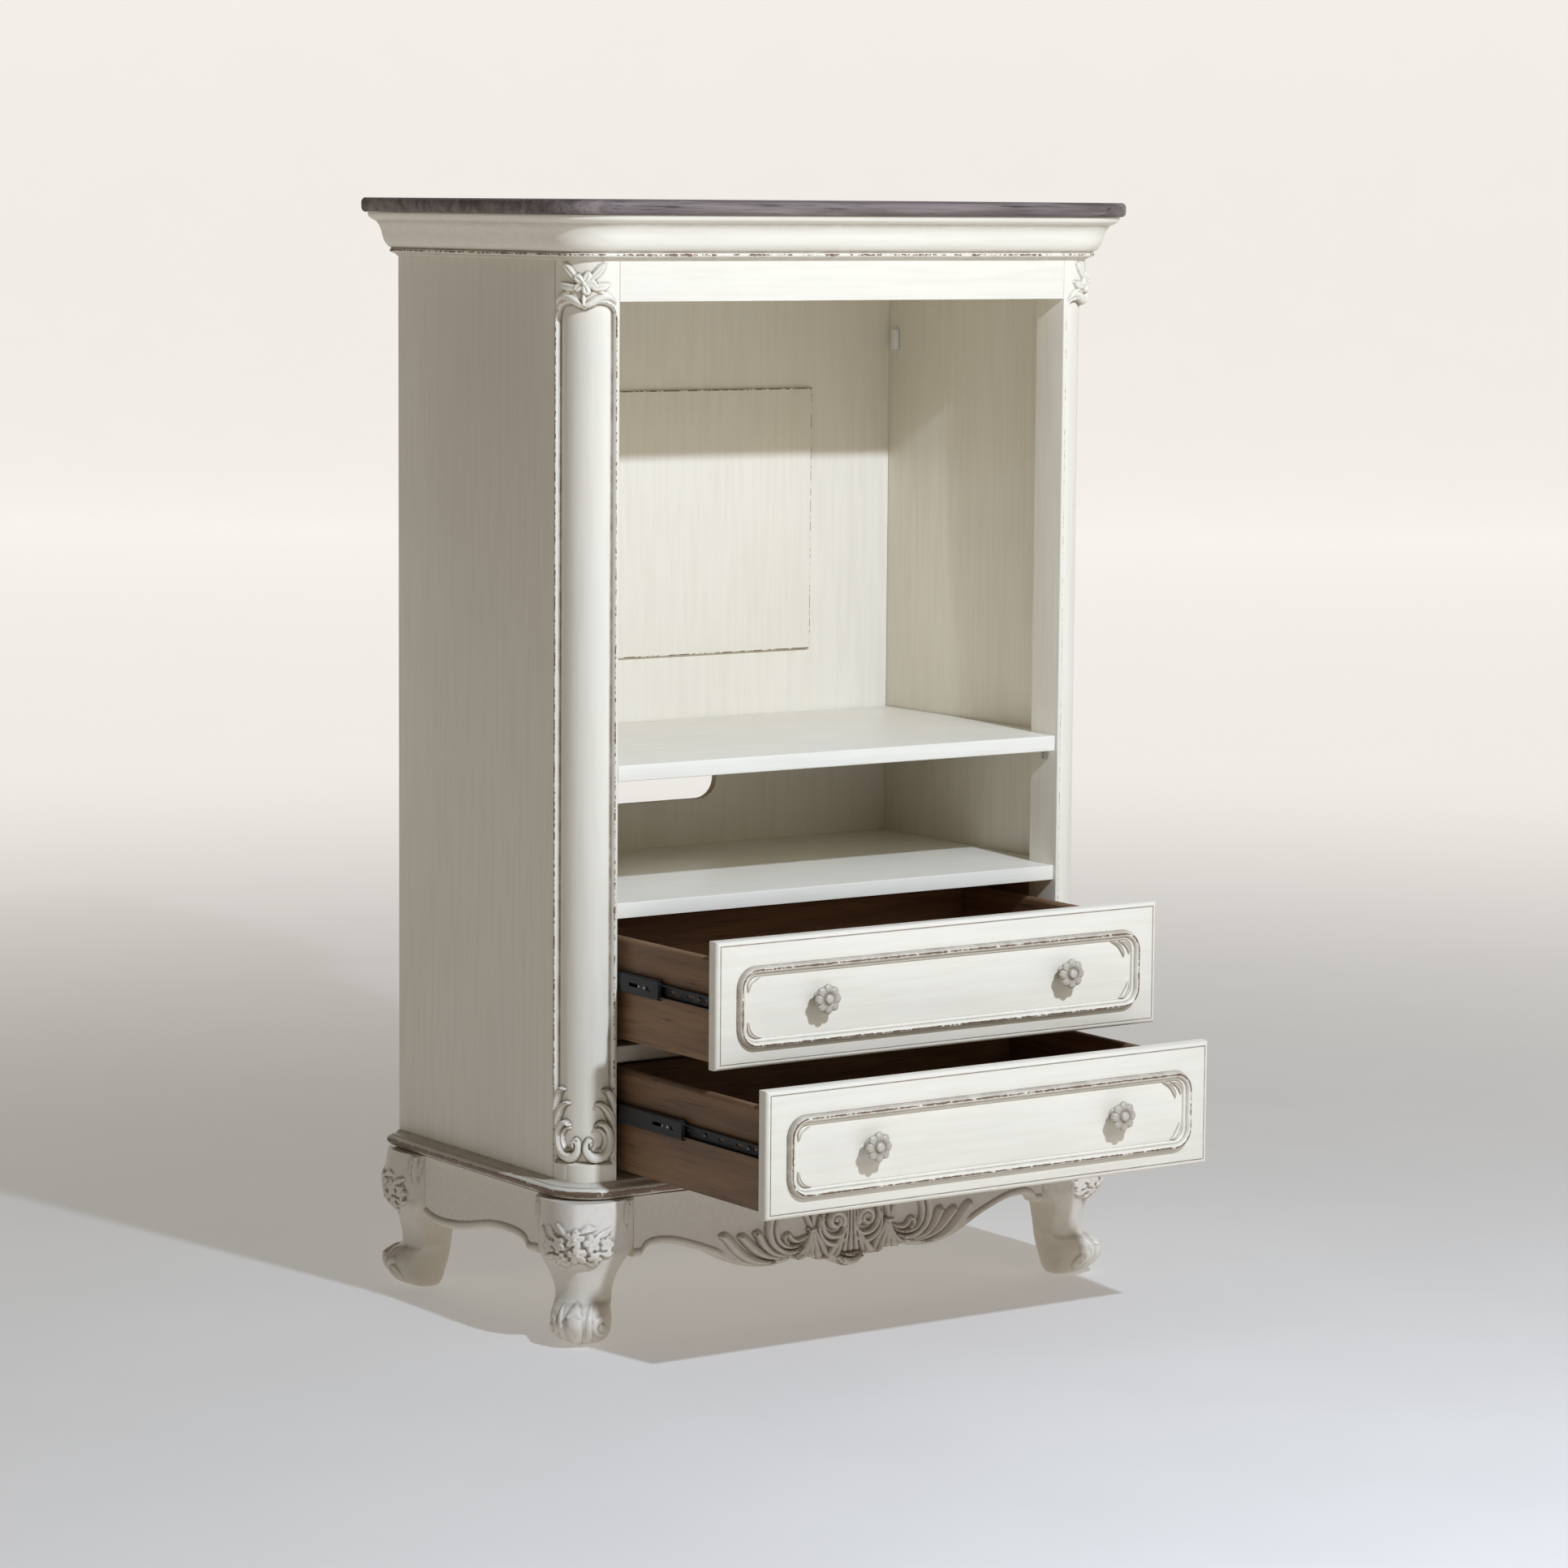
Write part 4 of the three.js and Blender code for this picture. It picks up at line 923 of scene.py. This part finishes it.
# ---- slides
def slide_channel(node, opening, slots):
    """A rolled channel. opening is the x direction its flanges point to, slots its long holes."""
    low, high = span(node)
    web = low.x if opening > 0 else high.x
    lip = high.x if opening > 0 else low.x
    cz, half = (low.z + high.z) / 2, (high.z - low.z) / 2
    sheet, bend = 1.3, 2.6
    edge = half - bend
    outline = [(low.y, -edge), (low.y, edge), (high.y, edge), (high.y, -edge)]
    holes = [stadium(low.y + at, 0, reach, radius, 9) for at, reach, radius in slots]
    flat, flat_faces = plate(outline, holes, sheet)
    parts = [([(web + opening * t, y, cz + z) for y, t, z in flat], flat_faces)]
    for up in (-1, 1):
        angles = np.radians(np.linspace(0, 90, 6))
        outer = [(bend - bend * math.cos(t), half - bend + bend * math.sin(t)) for t in angles]
        inner = [(bend - (bend - sheet) * math.cos(t), half - bend + (bend - sheet) * math.sin(t))
                 for t in angles[::-1]]
        reach = abs(lip - web)
        lip_end = [(reach - 0.5, half), (reach, half - 0.4), (reach, half - sheet + 0.2),
                   (reach - 0.4, half - sheet)]
        section = outer + lip_end + inner
        rings = [[(web + opening * x, y, cz + up * z) for x, z in section]
                 for y in (low.y, low.y + 0.4, high.y - 0.4, high.y)]
        parts.append(skin(rings))
    return joined(*parts)


def screw(x, y, z, facing, radius):
    """A pan-head screw with a cross recess, its head towards facing along x."""
    turn = np.arange(32) * 2 * math.pi / 32
    cross = radius * (0.13 + 0.35 * np.clip(np.cos(4 * turn), 0, 1) ** 4)
    profile = ((0, radius), (0.8, radius), (1.5, radius * 0.86), (1.9, radius * 0.55),
               (1.85, cross), (0.7, cross))
    return skin([np.column_stack([np.full(32, x + facing * out), y + r * np.cos(turn),
                                  z + r * np.sin(turn)]) for out, r in profile])


def add_slide(drawer, hand):
    side = SIDES[hand]
    level = drawer.split("_")[0]
    members = (  # body, the way its flanges point, slots, and heads: name, metal, depth and places
        ("case_slide", "root", -side, [(30, 5, 2.6), (180, 5, 2.6), (330, 5, 2.6)], None),
        ("middle_slide", level + "_middle_slides", -side,
         [(22, 3, 3), (60, 9, 2.4), (200, 14, 2.4), (360, 9, 2.4)],
         ("_rivets", SUPPORT_STEEL, 1.6, [(34, 2.6), (47, 2)])),
        ("drawer_slide", drawer, side,
         [(16, 3, 2.4), (52, 7, 2), (96, 3.5, 2.2), (180, 9, 2), (228, 3.5, 2.2), (300, 9, 2),
          (352, 3.5, 2.2)],
         ("_screws", SCREW_STEEL, 1.35, [(30, 3.6), (134, 3.6), (262, 3.6), (380, 3.6)])))
    for member, body, opening, slots, heads in members:
        node = f"{level}_{hand}_{member}"
        add_piece(node + "_rolled", slide_channel(node, opening, slots), BLACK_STEEL, body=body,
                  slot="black_slide_steel", stands_for=[node])
        if heads:
            kind, steel, depth, places = heads
            low, high = span(node)
            web = low.x if opening > 0 else high.x
            shape = joined(*(screw(web + opening * depth, low.y + at, (low.z + high.z) / 2, side, r)
                             for at, r in places))
            add_piece(node + kind, shape, steel, body=body, slot="support_steel")


def add_slide_end(drawer, hand):
    """The moulded stop and release lever at the front end of the middle member."""
    side = SIDES[hand]
    level = drawer.split("_")[0]
    low, high = span(f"{level}_{hand}_middle_slide")
    cz = (low.z + high.z) / 2
    outer = low.x if side < 0 else high.x
    rings = []
    # place along the slide, half height and thickness
    for along, half_z, deep in ((-1.5, 9.5, 4.4), (-0.6, 10.6, 5.4), (4, 11.2, 5.8), (12, 11.2, 5.8),
                                (13.5, 9, 4.2), (24, 6, 2.6), (38, 4.6, 2.4), (40, 3.6, 1.8)):
        ring = []
        for t in np.radians(np.arange(0, 360, 18)):
            cosine, sine = math.cos(t), math.sin(t)
            x = side * (1.5 + deep / 2) + side * deep / 2 * np.sign(cosine) * abs(cosine) ** 0.5
            ring.append((outer - x, low.y + along, cz + half_z * np.sign(sine) * abs(sine) ** 0.5))
        rings.append(ring)
    add_piece(f"{level}_{hand}_slide_stop", skin(rings), BLACK_PLASTIC,
              body=level + "_middle_slides", slot="black_slide_steel")


# ---- build
add_top_slab()
add_case_moulding("cornice_moulding", "cornice_front", CORNICE_ROWS, (2, 13), [(0.3, 0, 0, 0)],
                  ["cornice_front", "cornice_left", "cornice_right"])
base_height = span("base_moulding")[1].z - span("base_moulding")[0].z
add_case_moulding("base_moulding_profile", "base_moulding", BASE_ROWS, (5, 13),
                  [(0.3, -base_height, 0, 0), (0.3, 0, 0.3, 0)], ["base_moulding"])
add_post("left_front_post", -1)
add_post("right_front_post", 1)
add_leg("front_left_leg", -BODY_HALF, 0, 225)
add_leg("front_right_leg", BODY_HALF, 0, 315)
add_leg("back_right_leg", BODY_HALF, BODY_BACK, 45, -16)
add_leg("back_left_leg", -BODY_HALF, BODY_BACK, 135, 16)
add_front_apron()
add_side_apron("left_apron")
add_side_apron("right_apron")
add_back_panel()
for board, paint, width, rub in (
        ("left_side_panel", PAINT_UPRIGHT, 1, 0.25), ("right_side_panel", PAINT_UPRIGHT, 1, 0.25),
        ("drawer_bay_top", PAINT_SHELF_LIT, 1.2, 0.2), ("bottom_board", PAINT_LEVEL, 1, 0.3),
        ("inner_top_panel", PAINT_LEVEL, 1, 0), ("adjustable_shelf", PAINT_SHELF_LIT, 1.4, 0.2),
        ("top_rail", PAINT_LEVEL, 0.8, 0.3), ("drawer_divider_rail", PAINT_LEVEL, 1.2, 0.3),
        ("back_board", PAINT_UPRIGHT, 1.7, 1), ("back_apron", PAINT_LEVEL, 2, 0.3)):
    rounded_copy(board, paint, width, rub)
for hand in SIDES:
    rounded_copy(hand + "_slide_board", DRAWER_WOOD, 0.8, 0.3)
    for end in ("front", "back"):
        rounded_copy(f"shelf_support_{end}_{hand}", SUPPORT_STEEL, 0.35, 0.3)
rounded_copy("corner_clip", WHITE_CLIP, 1.6, 0)
for drawer in ("upper_drawer", "lower_drawer"):
    add_drawer(drawer)
    for hand in SIDES:
        add_slide(drawer, hand)
        add_slide_end(drawer, hand)

# ---- studio
scene = bpy.context.scene
scene.view_settings.view_transform = "Standard"

floor_nodes = Nodes("studio_floor")
floor_tone = floor_nodes.noise(scaled("none", 3), 3, 0.5)
floor_colour = floor_nodes.mix(floor_nodes.ramp(floor_tone, 0.3, 0.7),
                               (0.48, 0.472, 0.456), (0.46, 0.452, 0.437))
away = floor_nodes.add("VectorMath", {0: floor_nodes.add("TexCoord").outputs["Object"]},
                       operation="LENGTH").outputs["Value"]
floor_material = floor_nodes.finish(
    base_color=floor_colour, roughness=0.9, emission_color=(1, 0.966, 0.92),
    emission_strength=floor_nodes.ramp(away, 0.8, 7, 0.27, 0.74))


def add_ground():
    """A floor that curves up into a backdrop far behind."""
    near, wall, bend, top, half_width = -14, 16, 4, 14, 26
    curve = [(near, 0), (wall, 0)]
    curve += [(wall + bend * math.sin(t), bend - bend * math.cos(t))
              for t in np.radians(np.arange(9, 91, 9))]
    curve.append((wall + bend, top))
    turned = math.radians(-35)
    points = []
    for along, height in curve:
        for side in (-half_width, half_width):
            points.append((side * math.cos(turned) - along * math.sin(turned),
                           side * math.sin(turned) + along * math.cos(turned), height))
    faces = [(2 * i, 2 * i + 1, 2 * i + 3, 2 * i + 2) for i in range(len(curve) - 1)]
    mesh = bpy.data.meshes.new("studio_floor")
    mesh.from_pydata(points, [], faces)
    mesh.shade_smooth()
    mesh.materials.append(floor_material)
    ground = bpy.data.objects.new("studio_floor", mesh)
    scene.collection.objects.link(ground)


add_ground()

scene.world = bpy.data.worlds.new("studio")
scene.world.use_nodes = True
sky = scene.world.node_tree.nodes["Background"].inputs
sky["Color"].default_value = (1, 0.83, 0.6, 1)
sky["Strength"].default_value = 0.08


def add_lamp(name, place, target, size, power, colour):
    lamp = bpy.data.lights.new(name, "AREA")
    lamp.shape = "DISK"
    lamp.size = size
    lamp.energy = power
    lamp.color = colour
    holder = bpy.data.objects.new(name, lamp)
    holder.location = place
    holder.rotation_euler = (Vector(target) - Vector(place)).to_track_quat("-Z", "Y").to_euler()
    scene.collection.objects.link(holder)


# a small lamp high in front throws the crisp shadows, and a wide one fills them
add_lamp("key", (0.005, FRONT - 2.9, 2.92), (0, FRONT - 1.5, 0), 0.12, 140, (0.7, 0.812, 1))
add_lamp("fill", (0.7, FRONT - 4.4, 2.7), (0, FRONT - 0.6, 0), 2.6, 29, (1, 0.9, 0.74))

camera_data = bpy.data.cameras.new("camera")
camera_data.sensor_width = 36
camera_data.lens = 113.5
camera = bpy.data.objects.new("camera", camera_data)
yaw, pitch, roll = (math.radians(angle) for angle in (-34.618, -6.806, -0.45))
turned = (Matrix.Rotation(yaw, 3, "Z") @ Matrix.Rotation(pitch, 3, "X") @ Matrix.Rotation(roll, 3, "Y"))
axes = Matrix((turned.col[0], turned.col[2], -turned.col[1])).transposed()
camera_place = (-3.9478, FRONT - 5.571, 1.5591)
camera.matrix_world = Matrix.Translation(camera_place) @ axes.to_4x4()
scene.collection.objects.link(camera)
scene.camera = camera
